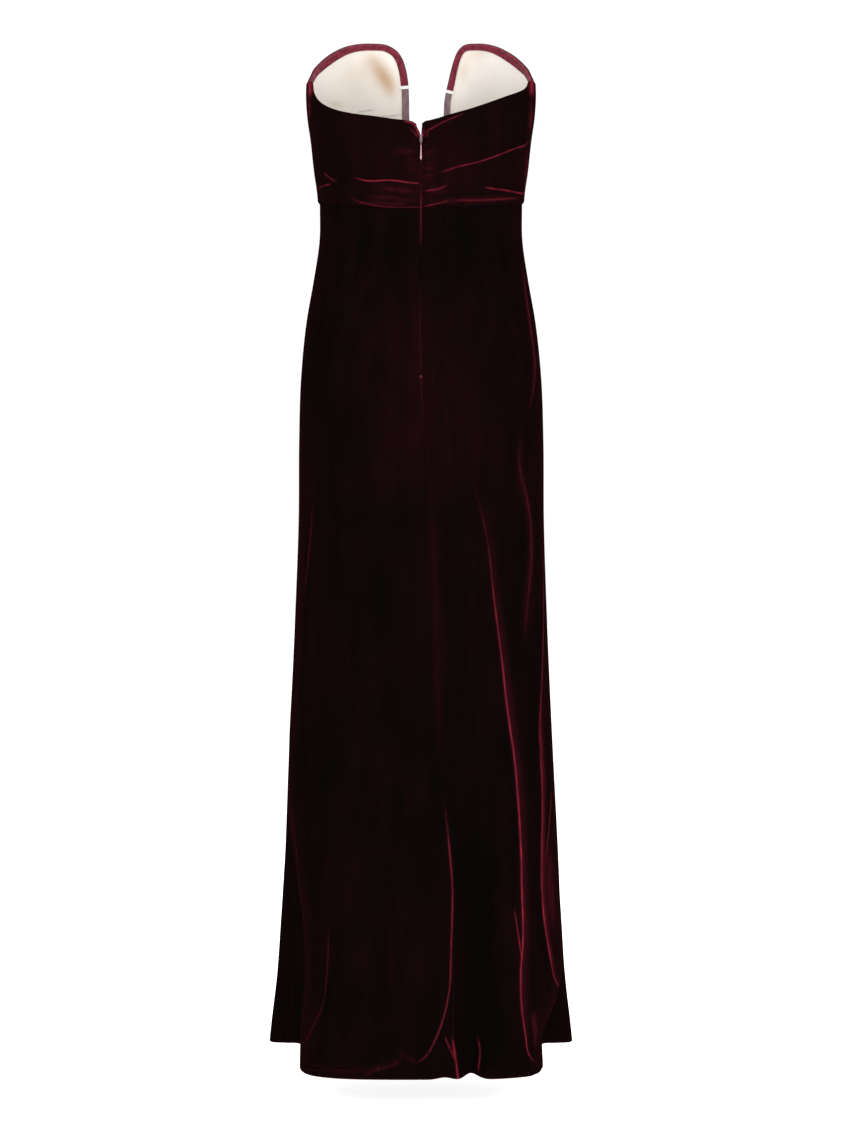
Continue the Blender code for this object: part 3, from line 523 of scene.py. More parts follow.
# Skirt: two back panels and a front. Sections give height, half-width of the front half,
# of the back lobes on the left and right, depth of back and front, the y of the widest
# place, and how square back and front are.
skirt = {
    "wall": 0.0020,
    "rows": (
        (-1.160, 0.2090, 0.1628, 0.1635, 0.180, 0.128, 0.022, 3.8, 2.7),
        (-1.110, 0.2040, 0.1615, 0.1635, 0.174, 0.126, 0.020, 3.5, 2.7),
        (-1.050, 0.1970, 0.1560, 0.1860, 0.166, 0.125, 0.016, 3.1, 2.6),
        (-0.968, 0.1910, 0.1590, 0.1880, 0.156, 0.122, 0.010, 2.8, 2.6),
        (-0.887, 0.1856, 0.1690, 0.1856, 0.146, 0.119, 0.004, 2.6, 2.5),
        (-0.806, 0.1816, 0.1780, 0.1816, 0.139, 0.117, 0.000, 2.5, 2.5),
        (-0.725, 0.1775, 0.1775, 0.1775, 0.134, 0.116, 0.000, 2.5, 2.4),
        (-0.644, 0.1735, 0.1735, 0.1735, 0.131, 0.115, 0.000, 2.4, 2.4),
        (-0.536, 0.1688, 0.1688, 0.1688, 0.130, 0.114, 0.000, 2.4, 2.4),
        (-0.428, 0.1652, 0.1652, 0.1652, 0.132, 0.111, 0.000, 2.4, 2.4),
        (-0.320, 0.1645, 0.1645, 0.1645, 0.137, 0.107, 0.000, 2.3, 2.4),
        (-0.239, 0.1620, 0.1620, 0.1620, 0.134, 0.104, 0.000, 2.3, 2.3),
        (-0.158, 0.1540, 0.1540, 0.1540, 0.122, 0.101, 0.000, 2.3, 2.3),
        (-0.104, 0.1445, 0.1445, 0.1445, 0.111, 0.099, 0.000, 2.3, 2.3),
        (-0.050, 0.1368, 0.1368, 0.1368, 0.0985, 0.097, 0.000, 2.3, 2.3),
        (0.000, 0.1365, 0.1365, 0.1365, 0.0925, 0.096, 0.000, 2.3, 2.3),
    ),
    "lobeStep": 0.030,
    "smoothBelow": 0.060,
    "smoothReach": 0.200,
    "centreBack": (  # height, x
        (-1.1600, 0.0484), (-1.0945, 0.0410), (-0.9880, 0.0399), (-0.9046, 0.0380), (-0.7832, 0.0280),
        (-0.6164, 0.0190), (-0.4295, 0.0100), (-0.3251, 0.0040), (-0.2400, 0.0000), (0.0000, 0.0000)),
    "hem": (  # degrees from the centre back, height
        (0.0, -1.1530), (40.0, -1.1540), (62.0, -1.1570), (79.0, -1.1565), (83.0, -1.1520),
        (86.5, -1.1375), (90.0, -1.1372), (94.0, -1.1378), (97.0, -1.1370), (100.0, -1.1345),
        (104.0, -1.1325), (180.0, -1.1340)),
    "hemTucks": ((0.0310, 0.003, 0.012), (0.0665, 0.008, 0.012)),  # x, rise, reach
    "down": 190, "downFront": 140, "downPace": ((0.0, 0.0), (0.46, 0.68), (0.62, 0.85), (1.0, 1.0)),
    "acrossBack": 180, "acrossFront": 170,
    "drawn": {"weight": 5.0, "reach": 0.020, "fade": 0.090},
    "tuckedIn": 0.0040,
    "margins": (0.0, 0.0003, 0.0008, 0.0014, 0.0022, 0.0034, 0.0050),
    "edges": {"first": ("groove", 0.0010, 0.0016), "last": ("groove", 0.0010, 0.0016),
              "bottom": ("round", 0.0010, 0.0011)},
    "waistDip": 0.018, "waistCurve": 1.4, "spread": (-0.010, -1.150),
    "ripple": (7, 0.0009), "dip": 0.0012, "dipReach": 0.003,  # the top dips in under the bodice
    "turnUp": 0.025, "turnUpWall": 0.0006, "turnUpEase": 0.0012, "hemEase": 0.003,
    "seamReach": 0.0010, "hemShine": 0.06, "hemReach": 0.0016,
    "hemStitch": (0.0065, 0.0032, 0.00022), "stitchIn": 0.002,  # pitch, length and radius
}
skirt["folds"] = {
    "back": (
        (6, 16, 45, 0.45, 0, (63, -360, 87, -455, 105, -613, 119, -741, 128, -876, 130, -979, 131, -1103,
            137, -1160)),
        (12, 14, 40, 0.35, 0.2, (22, -700, 36, -852, 40, -905, 39, -988, 36, -1040, 29, -1075, 19, -1102,
            7, -1122, -12, -1136)),
        (-15, 34, 26, 0.5, 0, (70, -760, 76, -900, 74, -1030, 68, -1160)),
        (10, 13, 13, 0.6, 0, (40, -1070, 44, -1121, 48, -1160)),
        (10, 16, 13, 0.6, 0, (88, -1060, 89, -1116, 87, -1160)),
        (4, 13, 22, 0.35, 0.35, (129, -352, 138, -404, 142, -472, 138, -541, 136, -620)),
        (3.5, 14, 22, 0.3, 0.3, (163, -500, 156, -657, 154, -700, 156, -768, 156, -841, 156, -914,
            164, -977, 174, -1025)),
        (5, 45, 18, 0.45, 0.15, (-105, -830, -118, -957, -119, -1019, -126, -1069, -140, -1099,
            -153, -1118)),
        (4, 30, 14, 0.4, 0.4, (-144, -430, -149, -560, -156, -700)),
        (1.8, 12, 14, 0.3, 0.25, (-150, -1143, -118, -1142, -74, -1139, -40, -1132, -15, -1121)),
    ),
    "front": (
        (10, 42, 20, 0.45, 0, (-50, -300, -85, -550, -105, -850, -118, -1160)),
        (9, 18, 36, 0.45, 0, (20, -420, 30, -700, 22, -950, 30, -1160)),
        (9, 20, 40, 0.45, 0, (85, -360, 115, -620, 135, -880, 140, -1160)),
        (-12, 26, 30, 0.55, 0, (-40, -750, -46, -950, -42, -1160)),
        (-10, 26, 24, 0.55, 0, (85, -780, 88, -950, 85, -1160)),
    ),
}
# the paths of the ridges, x and z by turns, as they run over the cloth
ridges = {
    "main": (62.8, -361.4, 82.2, -433.3, 86.5, -455.5, 93.5, -526.3, 103.5, -613.1, 110.8, -684,
        118.8, -740.7, 123.8, -798.4, 128, -875.5, 128.7, -907.9, 130, -979.2, 127.3, -1014.8,
        131.8, -1103.2, 135.5, -1126.5, 150, -1140),
    "mainTwin": (120.5, -935.8, 128.6, -1006),
    "hip": (133.8, -306.1, 129.4, -352.5, 138.4, -403.7, 142.8, -472.4, 137.9, -541.2, 136.4, -599.2),
    "sideRight": (164, -454.9, 162, -541.7, 155.8, -657, 153.6, -701.2, 154.6, -734.4, 156.2, -767.7,
        157, -801, 156.2, -840.9, 155.4, -876.8, 156, -914, 158.8, -947.3, 163.6, -976.5, 169.2, -1003.2,
        176.5, -1033.8, 185.8, -1055),
    "sideTwin": (174.2, -785, 170.7, -816.9, 168.1, -840.9, 164.8, -867.5, 161, -895.4),
    "lobeRight": (182.2, -1055, 172.2, -1079, 161.2, -1108),
    "waistRight": (135.5, -70, 138.2, -112, 146.6, -180, 151.5, -220, 148, -262, 138.5, -298),
    "leftHigh": (-143.5, -403.6, -146.6, -472.4, -152.6, -541.4),
    "leftEdge": (-172.1, -802.4, -164, -878.5, -160.1, -924.9, -153.9, -967, -153.6, -1006.9),
    "leftLow": (-117.6, -957.3, -118.7, -1019, -125.6, -1069.2, -139.9, -1098.6, -156, -1121.2),
    "centre": (29.9, -793.6, 35.6, -851.7, 39.9, -904.6, 38.6, -988, 37.1, -1032.5, 29.8, -1071.7,
        18.6, -1101.9, 7.4, -1122, -12.3, -1136.2),
    "hemLeft": (-158.3, -1143.6, -118.2, -1142.7, -74.1, -1140, -40.3, -1131.9, -15.1, -1120.8),
    "tuckOne": (39.7, -1094.5, 43.9, -1121.1, 48.2, -1153.4),
    "tuckOneTwin": (30, -1096, 35, -1108, 44, -1127),
    "tuckTwo": (75, -1095.4, 77.6, -1115.7, 74.9, -1143.9),
    "hemStroke": (-73.2, -1150, -66.6, -1144, -40.5, -1135.5, -23.2, -1126.8),
    "hemLoop": (-29, -1118, -20, -1122.5, -13.5, -1127, -6, -1130),
    "frontLeft": (-62, -390, -76, -490, -85, -560, -93, -670, -97, -750, -105, -860, -108, -970,
        -112, -1060, -119, -1130),
    "frontLeftTwin": (-98.5, -880, -100, -940, -106, -1000),
    "frontMiddle": (24, -520, 31, -620, 29, -720, 25, -810, 20, -900, 23, -990, 19, -1070, 11, -1120),
    "frontTuck": (40, -1070, 39, -1100, 42, -1128),
    "frontRight": (90, -390, 104, -520, 115, -630, 121, -730, 132, -850, 134.5, -960, 134, -1050,
        141, -1130),
    "frontRightTwin": (145, -690, 142, -760, 136, -840),
    "frontHip": (-120, -290, -128, -360, -125, -440, -129, -520),
}
ridges = {name: pathOf(path) for name, path in ridges.items()}
ridges["sideMost"], ridges["sideLow"] = ridges["sideRight"][2:], ridges["sideRight"][9:]
skirt["creases"] = {
    "back": (
        (1.6, 3, 5, 0.25, 0.05, "main"),
        (1, 2.2, 3, 0.3, 0.3, "mainTwin"),
        (1, 3, 4, 0.25, 0.25, "hip"),
        (1.4, 3, 4.5, 0.2, 0.15, "sideRight"),
        (1, 2.5, 3, 0.3, 0.3, "sideTwin"),
        (1.2, 3, 3, 0.3, 0.3, "lobeRight"),
        (1, 4, 4, 0.3, 0.4, "waistRight"),
        (0.8, 3, 4, 0.3, 0.3, "leftHigh"),
        (1, 3, 4, 0.3, 0.3, "leftEdge"),
        (1.2, 3.5, 3, 0.3, 0.2, "leftLow"),
        (1.4, 2.6, 4, 0.2, 0.2, "centre"),
        (0.6, 4, 4, 0.3, 0.3, "hemLeft"),
        (3, 3, 4, 0.4, 0, "tuckOne"),
        (2.4, 4, 3, 0.4, 0, "tuckTwo"),
    ),
    "front": (
        (1.4, 3, 4.5, 0.35, 0.2, "frontLeft"),
        (1, 2.5, 3.5, 0.3, 0.3, "frontLeftTwin"),
        (1, 3, 4, 0.35, 0.2, "frontMiddle"),
        (2, 3.5, 3.5, 0.4, 0.1, "frontTuck"),
        (1.6, 3, 5, 0.35, 0.15, "frontRight"),
        (1, 2.5, 3.5, 0.3, 0.3, "frontRightTwin"),
        (1, 3.5, 4, 0.3, 0.3, "frontHip"),
    ),
}
# Painted highlights over the skirt's velvet, as lines of shine; a negative amount is painted shade
skirt["shine"] = {
    "back": (
        (0.72, 0.9, 1, 0.45, 0.02, "main"),
        (0.08, 9, 2, 0.45, 0.15, "main"),
        (0.45, 0.7, 0.9, 0.25, 0.25, "mainTwin"),
        (0.1, 1.6, 1.8, 0.25, 0.25, "hip"),
        (0.04, 7, 6, 0.3, 0.3, "hip"),
        (0.34, 1.2, 1.3, 0.1, 0.05, "sideRight"),
        (0.22, 0.9, 1, 0.2, 0.05, "sideLow"),
        (0.2, 9, 2, 0.2, 0.15, "sideMost"),
        (0.08, 15, 11, 0.35, 0.35, (169, -845, 170, -895, 172, -940, 177, -985)),
        (0.42, 0.9, 1.1, 0.2, 0.35, "sideTwin"),
        (0.45, 0.8, 1, 0.15, 0.15, "lobeRight"),
        (0.16, 2.8, 3.6, 0.3, 0.35, "waistRight"),
        (0.09, 1.4, 1.8, 0.3, 0.3, "leftHigh"),
        (0.14, 1.1, 1.6, 0.3, 0.3, "leftEdge"),
        (0.12, 1, 1.2, 0.25, 0.1, "leftLow"),
        (0.42, 0.8, 1, 0.2, 0.1, "centre"),
        (0.02, 4, 4, 0.2, 0.3, "hemLeft"),
        (0.08, 1.4, 1.8, 0.1, 0.2, "hemStroke"),
        (0.04, 1.8, 2, 0.2, 0.2, "hemLoop"),
        (0.75, 0.9, 1.2, 0.35, 0, "tuckOne"),
        (0.4, 0.8, 1, 0.25, 0.1, "tuckOneTwin"),
        (0.4, 0.9, 0.9, 0.3, 0.1, "tuckTwo"),
        (0.12, 6, 6, 0.4, 0.4, (144, -1065, 150, -1100, 151, -1130)),
        (0.014, 70, 70, 0.4, 0.4, (0, -80, 0, -250, 10, -450)),
        (0.016, 4, 4, 0.3, 0.25, (9, -340, 16, -440, 19.5, -550, 21.2, -665, 27.5, -770)),
        # painted shade down the dark valley between the centre and main folds
        (-0.02, 22, 22, 0.3, 0.1, (65, -820, 75, -930, 80, -1150)),
    ),
    "front": (
        (0.42, 1, 1.3, 0.35, 0.2, "frontLeft"),
        (0.05, 2, 8, 0.4, 0.25, "frontLeft"),
        (0.26, 0.9, 1.2, 0.3, 0.3, "frontLeftTwin"),
        (0.2, 1.1, 1.5, 0.35, 0.25, "frontMiddle"),
        (0.36, 1.2, 1.2, 0.35, 0.1, "frontTuck"),
        (0.5, 1, 1.3, 0.35, 0.15, "frontRight"),
        (0.07, 2, 9, 0.4, 0.25, "frontRight"),
        (0.28, 0.9, 1.2, 0.3, 0.4, "frontRightTwin"),
        (0.08, 1.6, 1.8, 0.3, 0.3, "frontHip"),
    ),
}
for kind, each in (("folds", mm), ("creases", mm), ("shine", 1.0)):
    skirt[kind] = {half: linesOf(rows, each) for half, rows in skirt[kind].items()}
# painted highlight along the centre back seam, by height
skirt["seamShine"] = (  # height, shine along the centre back seam
    (-1.160, 0.06), (-0.800, 0.008), (-0.450, 0.008), (-0.300, 0.02), (-0.262, 0.07), (-0.240, 0.06),
    (-0.160, 0.05), (-0.060, 0.08), (-0.040, 0.22), (-0.018, 0.38), (0.000, 0.14), (0.060, 0.08))


def skirtForm(a, z):
    side, lobeLeft, lobeRight, back, front, sideY, backSquare, frontSquare = columnsAt(skirt["rows"], z)
    s, c = squircle(a, mix(backSquare, frontSquare, ease(0.5 - 2.0 * np.cos(a))))
    y = sideY - c * np.where(c > 0, back + sideY, front - sideY)
    lobe = np.where(s > 0, lobeRight, lobeLeft)
    x = s * mix(lobe, side, ease(0.5 + (y - sideY) / skirt["lobeStep"]))
    return np.stack([x, y, z], -1)


def waistSeam(a):
    return -skirt["waistDip"] * np.clip(np.cos(a), 0.0, 1.0) ** skirt["waistCurve"]


def hemLine(a):
    around = np.degrees(np.abs((a + frontTurn) % (2 * frontTurn) - frontTurn))
    (height,) = columnsAt(skirt["hem"], around)
    x = skirtForm(a, np.full(a.shape, skirt["rows"][0][0]))[..., 0]
    for place, rise, reach in skirt["hemTucks"]:
        height = height + rise * bell(x - place, reach) * (np.cos(a) > 0)
    return height


def tracksOf(form, half, lines, upright):
    # the lines as pairs of height and turn, or of turn and height, in order
    tracks = []
    for path in {line.path: None for line in lines}:
        fine = smoothPath(path)
        turns = anglesAt(form, half, fine)
        along, across = (fine[:, 1], turns) if upright else (np.abs(turns), fine[:, 1])
        order = along.argsort()
        tracks.append((along[order], across[order]))
    return tracks


def drawnTogether(tracks, at, low, high, count, drawn):
    # shares of the way from low to high at each place, close together along the tracks
    spots = np.linspace(0.0, 1.0, shareSteps)
    weight = np.ones((at.size, spots.size))
    for along, across in tracks:
        spot = (np.interp(at, along, across) - low) / (high - low)
        within = ease((at - along[0]) / drawn["fade"] + 1.0) * ease((along[-1] - at) / drawn["fade"] + 1.0)
        weight += drawn["weight"] * within[:, None] * bell(spots - spot[:, None], drawn["reach"])
    total = np.cumsum(weight, axis=1)
    total = (total - total[:, :1]) / (total[:, -1:] - total[:, :1])
    even = np.linspace(0.0, 1.0, count)[1:-1]
    return np.stack([np.interp(even, row, spots) for row in total])


def rowAt(points, measure, target):
    # the path over a grid along which a measure that falls down the rows has one value
    return np.array([[np.interp(target, measure[::-1, c], points[::-1, c, k]) for k in range(3)]
                     for c in range(points.shape[1])])


def skirtPanel(name, half, firstSeam, lastSeam, across, down, borders, node):
    steps = np.asarray(skirt["margins"])
    fall, top, bottom = (v[:, None] for v in graded(down, steps, skirt["downPace"]))
    heights = mix(*skirt["spread"], fall[:, 0])
    inner = drawnTogether(tracksOf(skirtForm, half, skirt["creases"][half], True), heights,
                          firstSeam(heights), lastSeam(heights), across, skirt["drawn"])
    ends = np.zeros((len(heights), len(steps)))
    share = np.concatenate([ends, inner, ends + 1.0], 1)
    first = np.concatenate([ends + steps, steps[-1] * (1 - inner), ends], 1)
    last = np.concatenate([ends, steps[-1] * inner, ends + steps[::-1]], 1)
    z = np.zeros(share.shape)
    for _ in range(solving):
        firstTurn, lastTurn = firstSeam(z), lastSeam(z)
        firstTurn = firstTurn + turnOf(skirtForm, firstTurn, z, seamGap / 2)
        lastTurn = lastTurn - turnOf(skirtForm, lastTurn, z, seamGap / 2)
        a = mix(firstTurn, lastTurn, share)
        a = a + turnOf(skirtForm, firstTurn, z, first) - turnOf(skirtForm, lastTurn, z, last)
        z = mix(waistSeam(a) + skirt["tuckedIn"], hemLine(a), fall) - top + bottom
    point, normal = skirtForm(a, z), outward(skirtForm, a, z)
    swell = ease((-skirt["smoothBelow"] - z) / skirt["smoothReach"])
    lift = allLines(skirtForm, skirt["folds"], point, normal) * swell
    lift = lift + allLines(skirtForm, skirt["creases"], point, normal)
    lift = lift + ripple(a, z, *skirt["ripple"]) * swell
    lift = lift - skirt["dip"] * ease((z - waistSeam(a)) / skirt["dipReach"])
    # painted highlights along the ridges, and painted shade where a line is negative
    shine = allLines(skirtForm, skirt["shine"], point, normal)
    outer, inner, distance = edgesDressed(
        point + normal * lift[..., None], normal, skirt["wall"], skirt["edges"],
        {"first": seamLap, "last": seamLap})
    turned = ease((skirt["turnUp"] - distance["bottom"]) / skirt["turnUpEase"])
    turned = turned * ease(distance["bottom"] / skirt["hemEase"])
    inner = inner - normal * (skirt["turnUpWall"] * turned)[..., None]
    # painted highlights along the centre back seam and along the hem
    (along,) = columnsAt(skirt["seamShine"], z)
    for border in borders:
        shine = shine + along * bell(distance[border], skirt["seamReach"])
    shine = shine + skirt["hemShine"] * bell(distance["bottom"], skirt["hemReach"])
    obj = shell(name, outer, inner, {"shine": shine}, ("wineVelvet", "velvetBacking"))
    stoodFor(obj, "wine_velvet", node)
    hem = rowAt(inner, distance["bottom"], skirt["turnUp"] - skirt["stitchIn"])[len(steps):-len(steps)]
    stitches = setAlong(name + "HemStitches", [hem], skirt["hemStitch"], "wineThread", "wine_velvet", seed=2)


def makeSkirt():
    heights = [z for z, _ in skirt["centreBack"]]
    turns = anglesAt(skirtForm, "back", [(x, z) for z, x in skirt["centreBack"]])

    def centreBack(z):
        return hermite(z, heights, turns)

    def sideSeam(turn):
        return lambda z: np.full(z.shape, turn)

    across, down = skirt["acrossBack"], skirt["down"]
    skirtPanel("skirtBackLeft", "back", sideSeam(-sideTurn), centreBack, across, down, ("last",),
               "skirt_back_left")
    skirtPanel("skirtBackRight", "back", centreBack, sideSeam(sideTurn), across, down, ("first",),
               "skirt_back_right")
    skirtPanel("skirtFront", "front", sideSeam(sideTurn), sideSeam(3 * sideTurn), skirt["acrossFront"],
               skirt["downFront"], (), "skirt_front")


print("skirt")
makeSkirt()

# Bodice: two halves behind, gathered towards the zip, and two in front with a cup each. Rows
# give height, half-width, depth of back and front; edges give x and height.
bodice = {
    "wall": 0.0030,
    "rows": (
        (-0.020, 0.1385, 0.0965, 0.0990), (0.010, 0.1400, 0.0975, 0.1005), (0.042, 0.1445, 0.0990, 0.1040),
        (0.083, 0.1490, 0.1010, 0.1085), (0.115, 0.1535, 0.1020, 0.1100), (0.145, 0.1552, 0.1020, 0.1090),
        (0.176, 0.1535, 0.1000, 0.1060), (0.205, 0.1495, 0.0980, 0.1010), (0.240, 0.1410, 0.0950, 0.0940)),
    "square": 2.35,
    "cupRise": 0.022, "cupX": 0.080, "cupZ": 0.125, "cupReachX": 0.048, "cupReachZ": 0.075,
    "cupHollow": 0.035,
    "backEdge": {
        "left": ((0.1540, 0.1600), (0.1500, 0.1598), (0.1472, 0.1580), (0.1463, 0.1520), (0.1452, 0.1448),
                 (0.1415, 0.1360), (0.1328, 0.1258), (0.1201, 0.1180), (0.0935, 0.1092), (0.0650, 0.1044),
                 (0.0415, 0.1004), (0.0190, 0.0974), (0.0110, 0.0960), (0.0072, 0.0936), (0.0000, 0.0930)),
        "right": ((0.1540, 0.1605), (0.1500, 0.1600), (0.1462, 0.1588), (0.1447, 0.1560), (0.1432, 0.1515),
                  (0.1379, 0.1451), (0.1283, 0.1395), (0.1148, 0.1334), (0.0913, 0.1235), (0.0677, 0.1146),
                  (0.0430, 0.1070), (0.0119, 0.0978), (0.0050, 0.0962), (0.0024, 0.0942), (0.0000, 0.0936))},
    "cupEdge": ((0.1550, 0.1580), (0.1510, 0.1764), (0.1472, 0.1865), (0.1408, 0.1962), (0.1317, 0.2066),
                (0.1198, 0.2163), (0.1025, 0.2257), (0.0735, 0.2312)),
    "notchEdge": {
        "left": ((0.0500, 0.2288), (0.0388, 0.2213), (0.0333, 0.2133), (0.0277, 0.1970),
                 (0.0250, 0.1808), (0.0236, 0.1562), (0.0232, 0.1320), (0.0205, 0.1060),
                 (0.0120, 0.0880), (0.0000, 0.0820)),
        "right": ((0.0527, 0.2288), (0.0444, 0.2213), (0.0402, 0.2133), (0.0347, 0.1970),
                  (0.0305, 0.1808), (0.0250, 0.1562), (0.0234, 0.1320), (0.0205, 0.1060),
                  (0.0120, 0.0880), (0.0000, 0.0820))},
    "notchShift": 0.0080, "shiftX": 0.120, "shiftY": 0.060, "shiftZ": 0.080,
    "fan": ((0.0, 0.0), (0.40, 0.56), (0.62, 0.80), (1.0, 1.0)),
    "zip": (  # height, how far the left and right halves stop from the centre
        (0.0560, 0.00002, 0.00002), (0.0640, 0.0002, 0.0002), (0.0685, 0.0009, 0.0008),
        (0.0790, 0.0011, 0.0006), (0.0820, 0.0018, 0.0006), (0.0880, 0.0048, 0.0011),
        (0.0950, 0.0070, 0.0015)),
    "tapeGap": (  # height, the same for the zip tape: the teeth are closed below the slider
        (0.0560, 0.0001, 0.0001), (0.0700, 0.0001, 0.0001), (0.0790, 0.0008, 0.0003),
        (0.0830, 0.0024, 0.0009), (0.0880, 0.0052, 0.0014), (0.0950, 0.0074, 0.0018)),
    "backHigh": 160, "backAcross": 140, "frontHigh": 110, "frontAcross": 145,
    "margins": (0.0, 0.0002, 0.0006, 0.0011, 0.0016, 0.0024, 0.0034),
    "edges": {"top": ("round", 0.0020, 0.0034), "bottom": ("round", 0.0015, 0.0016),
              "first": ("groove", 0.0012, 0.0017), "last": ("groove", 0.0012, 0.0017)},
    "backPace": ((0.0, 0.0), (0.35, 0.25), (1.0, 1.0)), "brightCrease": 0.25,
    "frontMargins": (0.0, 0.0005, 0.0015, 0.003, 0.005, 0.008, 0.012), "frontPull": 0.04,
    "seamTop": 0.070, "seamReach": 0.0010, "edgeShine": 0.22, "edgeReach": 0.0024,
    "backGathers": (  # height, length, slope, rise
        (-0.008, 0.034, -0.05, 0.0024), (0.004, 0.030, 0.15, 0.0026), (0.024, 0.038, 0.10, 0.0028),
        (0.033, 0.028, 0.25, 0.0024), (0.042, 0.034, 0.20, 0.0026), (0.054, 0.026, 0.35, 0.0022)),
    "frontGathers": (
        (0.004, 0.030, 0.10, 0.0024), (0.021, 0.028, 0.20, 0.0026), (0.043, 0.030, 0.40, 0.0026),
        (0.066, 0.026, 0.70, 0.0024)),
    "lapTop": 0.066, "lapEase": 0.006, "gatherStart": 0.003, "gatherReach": 0.0045,
    "gatherSpread": ((0.1, 1.3), (0.3, 1.3), (0.7, 1.2)),  # of start, shine and length
    "gatherEnds": (0.25, 0.7), "gatherBow": 0.4, "backGlow": (0.0019, 0.030),
    "frontGlow": (0.0013, 0.12), "glow": 0.006,
    "drawn": {"weight": 2.5, "reach": 0.016, "fade": 0.080},
}
backFolds = (
    (3, 6, 9, 0.15, 0.4, (3, 79, 25, 92, 60, 106)),
    (5, 6, 14, 0.15, 0.1, (6, 24, 43, 35, 79, 46, 116, 62, 143, 79)),
    (3, 5, 6, 0.2, 0.4, (6, 5, 36, 14)),
    (5, 5, 10, 0.3, 0.1, (82, 9, 105, 8, 136, 12)),
    (5, 12, 6, 0.15, 0.25, (-6, 15, -38, 18, -72, 19, -89, 25, -104, 30)),
    (3, 6, 7, 0.3, 0.3, (-110, 19, -130, 37)),
    (3, 9, 9, 0.15, 0.4, (-6, 50, -28, 56, -58, 64, -94, 80)),
)
frontFolds = (
    (3.5, 9, 9, 0.1, 0.2, (1, 10, 40, 14, 85, 10, 130, 14)),
    (4, 10, 10, 0.1, 0.2, (1, 32, 45, 44, 95, 50, 140, 46)),
    (4, 10, 10, 0.1, 0.25, (1, 55, 40, 82, 85, 108, 140, 118)),
    (3, 9, 9, 0.1, 0.3, (22, 100, 50, 135, 90, 165, 135, 172)),
)
# Thin creases of the ruched velvet: rise, painted highlight (shine), reach on the left and right, start,
# end, path
backLines = (
    (1.4, 0.32, 0.7, 0.9, 0.1, 0.3, (3.4, 80.2, 25, 92.8, 59.9, 108.2)),
    (1.8, 0.42, 0.7, 1, 0.25, 0.12, (16.6, 25.2, 43, 35.1, 79.2, 45.7, 115.7, 62.5, 143.4, 79,
        147.8, 85)),
    (1.4, 0.3, 0.7, 1, 0.2, 0.3, (3, 4.6, 23, 7.4, 35.9, 13.6)),
    (1.8, 0.52, 0.8, 1, 0.2, 0.2, (81.6, 12.5, 90, 10.4, 104.8, 9.2, 138.7, 13.2, 139.8, 15)),
    (0.8, 0.2, 0.8, 1.4, 0.2, 0.1, (38.3, -6.8, 84.7, -5.4, 130.9, 1.5)),
    (1, 0.3, 0.7, 1, 0.2, 0.2, (1.4, -16, 25.1, -10.8, 38.3, -6.8)),
    (2, 0.68, 0.8, 1.1, 0.05, 0.2, (-1.2, 15, -6, 14.7, -38.5, 18.3, -72.1, 19.2, -89.2, 24.7)),
    (1.4, 0.36, 0.9, 0.9, 0.3, 0.2, (-129.8, 37, -120, 28, -109.9, 19)),
    (1, 0.3, 0.8, 1, 0.3, 0.3, (-140, 15, -137.6, 16.2, -117.4, 18.6)),
    (0.6, 0.16, 0.8, 1.6, 0.3, 0.05, (-99, 5, -85, -6, -67.4, -11.4, -38.5, -16.5, -1, -16.5)),
    (0.8, 0.05, 2, 2.4, 0.2, 0.4, (-6, 2, -30, 5, -56, 10)),
    (0.8, 0.05, 1.8, 2.2, 0.3, 0.4, (-8, -6, -40, -4.5, -80, 2)),
)
frontLines = (
    (1.4, 0.3, 1, 1.4, 0.1, 0.35, (2, 12, 30, 13, 70, 8, 105, 10)),
    (1.6, 0.5, 1, 1.4, 0.1, 0.3, (3, 34, 40, 43, 85, 50, 128, 49)),
    (1.4, 0.4, 0.9, 1.3, 0.15, 0.35, (4, 56, 36, 79, 75, 102, 118, 115)),
    (1, 0.22, 1, 1.4, 0.25, 0.4, (30, 110, 55, 139, 90, 162, 122, 170)),
    (0.8, 0.12, 1.2, 1.8, 0.2, 0.4, (10, 22, 40, 29, 75, 30)),
    (1.4, 0.44, 0.9, 1.3, 0.1, 0.25, (-2, 10, -40, 15, -88, 12, -130, 15)),
    (1.2, 0.26, 1, 1.4, 0.1, 0.4, (-3, 30, -45, 46, -90, 54, -116, 52)),
    (1.6, 0.46, 1, 1.4, 0.1, 0.3, (-2, 54, -42, 85, -90, 110, -136, 121)),
    (0.8, 0.18, 1, 1.4, 0.25, 0.4, (-20, 98, -46, 131, -80, 158)),
    (0.8, 0.14, 1.2, 1.8, 0.2, 0.4, (-6, 42, -30, 60, -60, 72)),
)
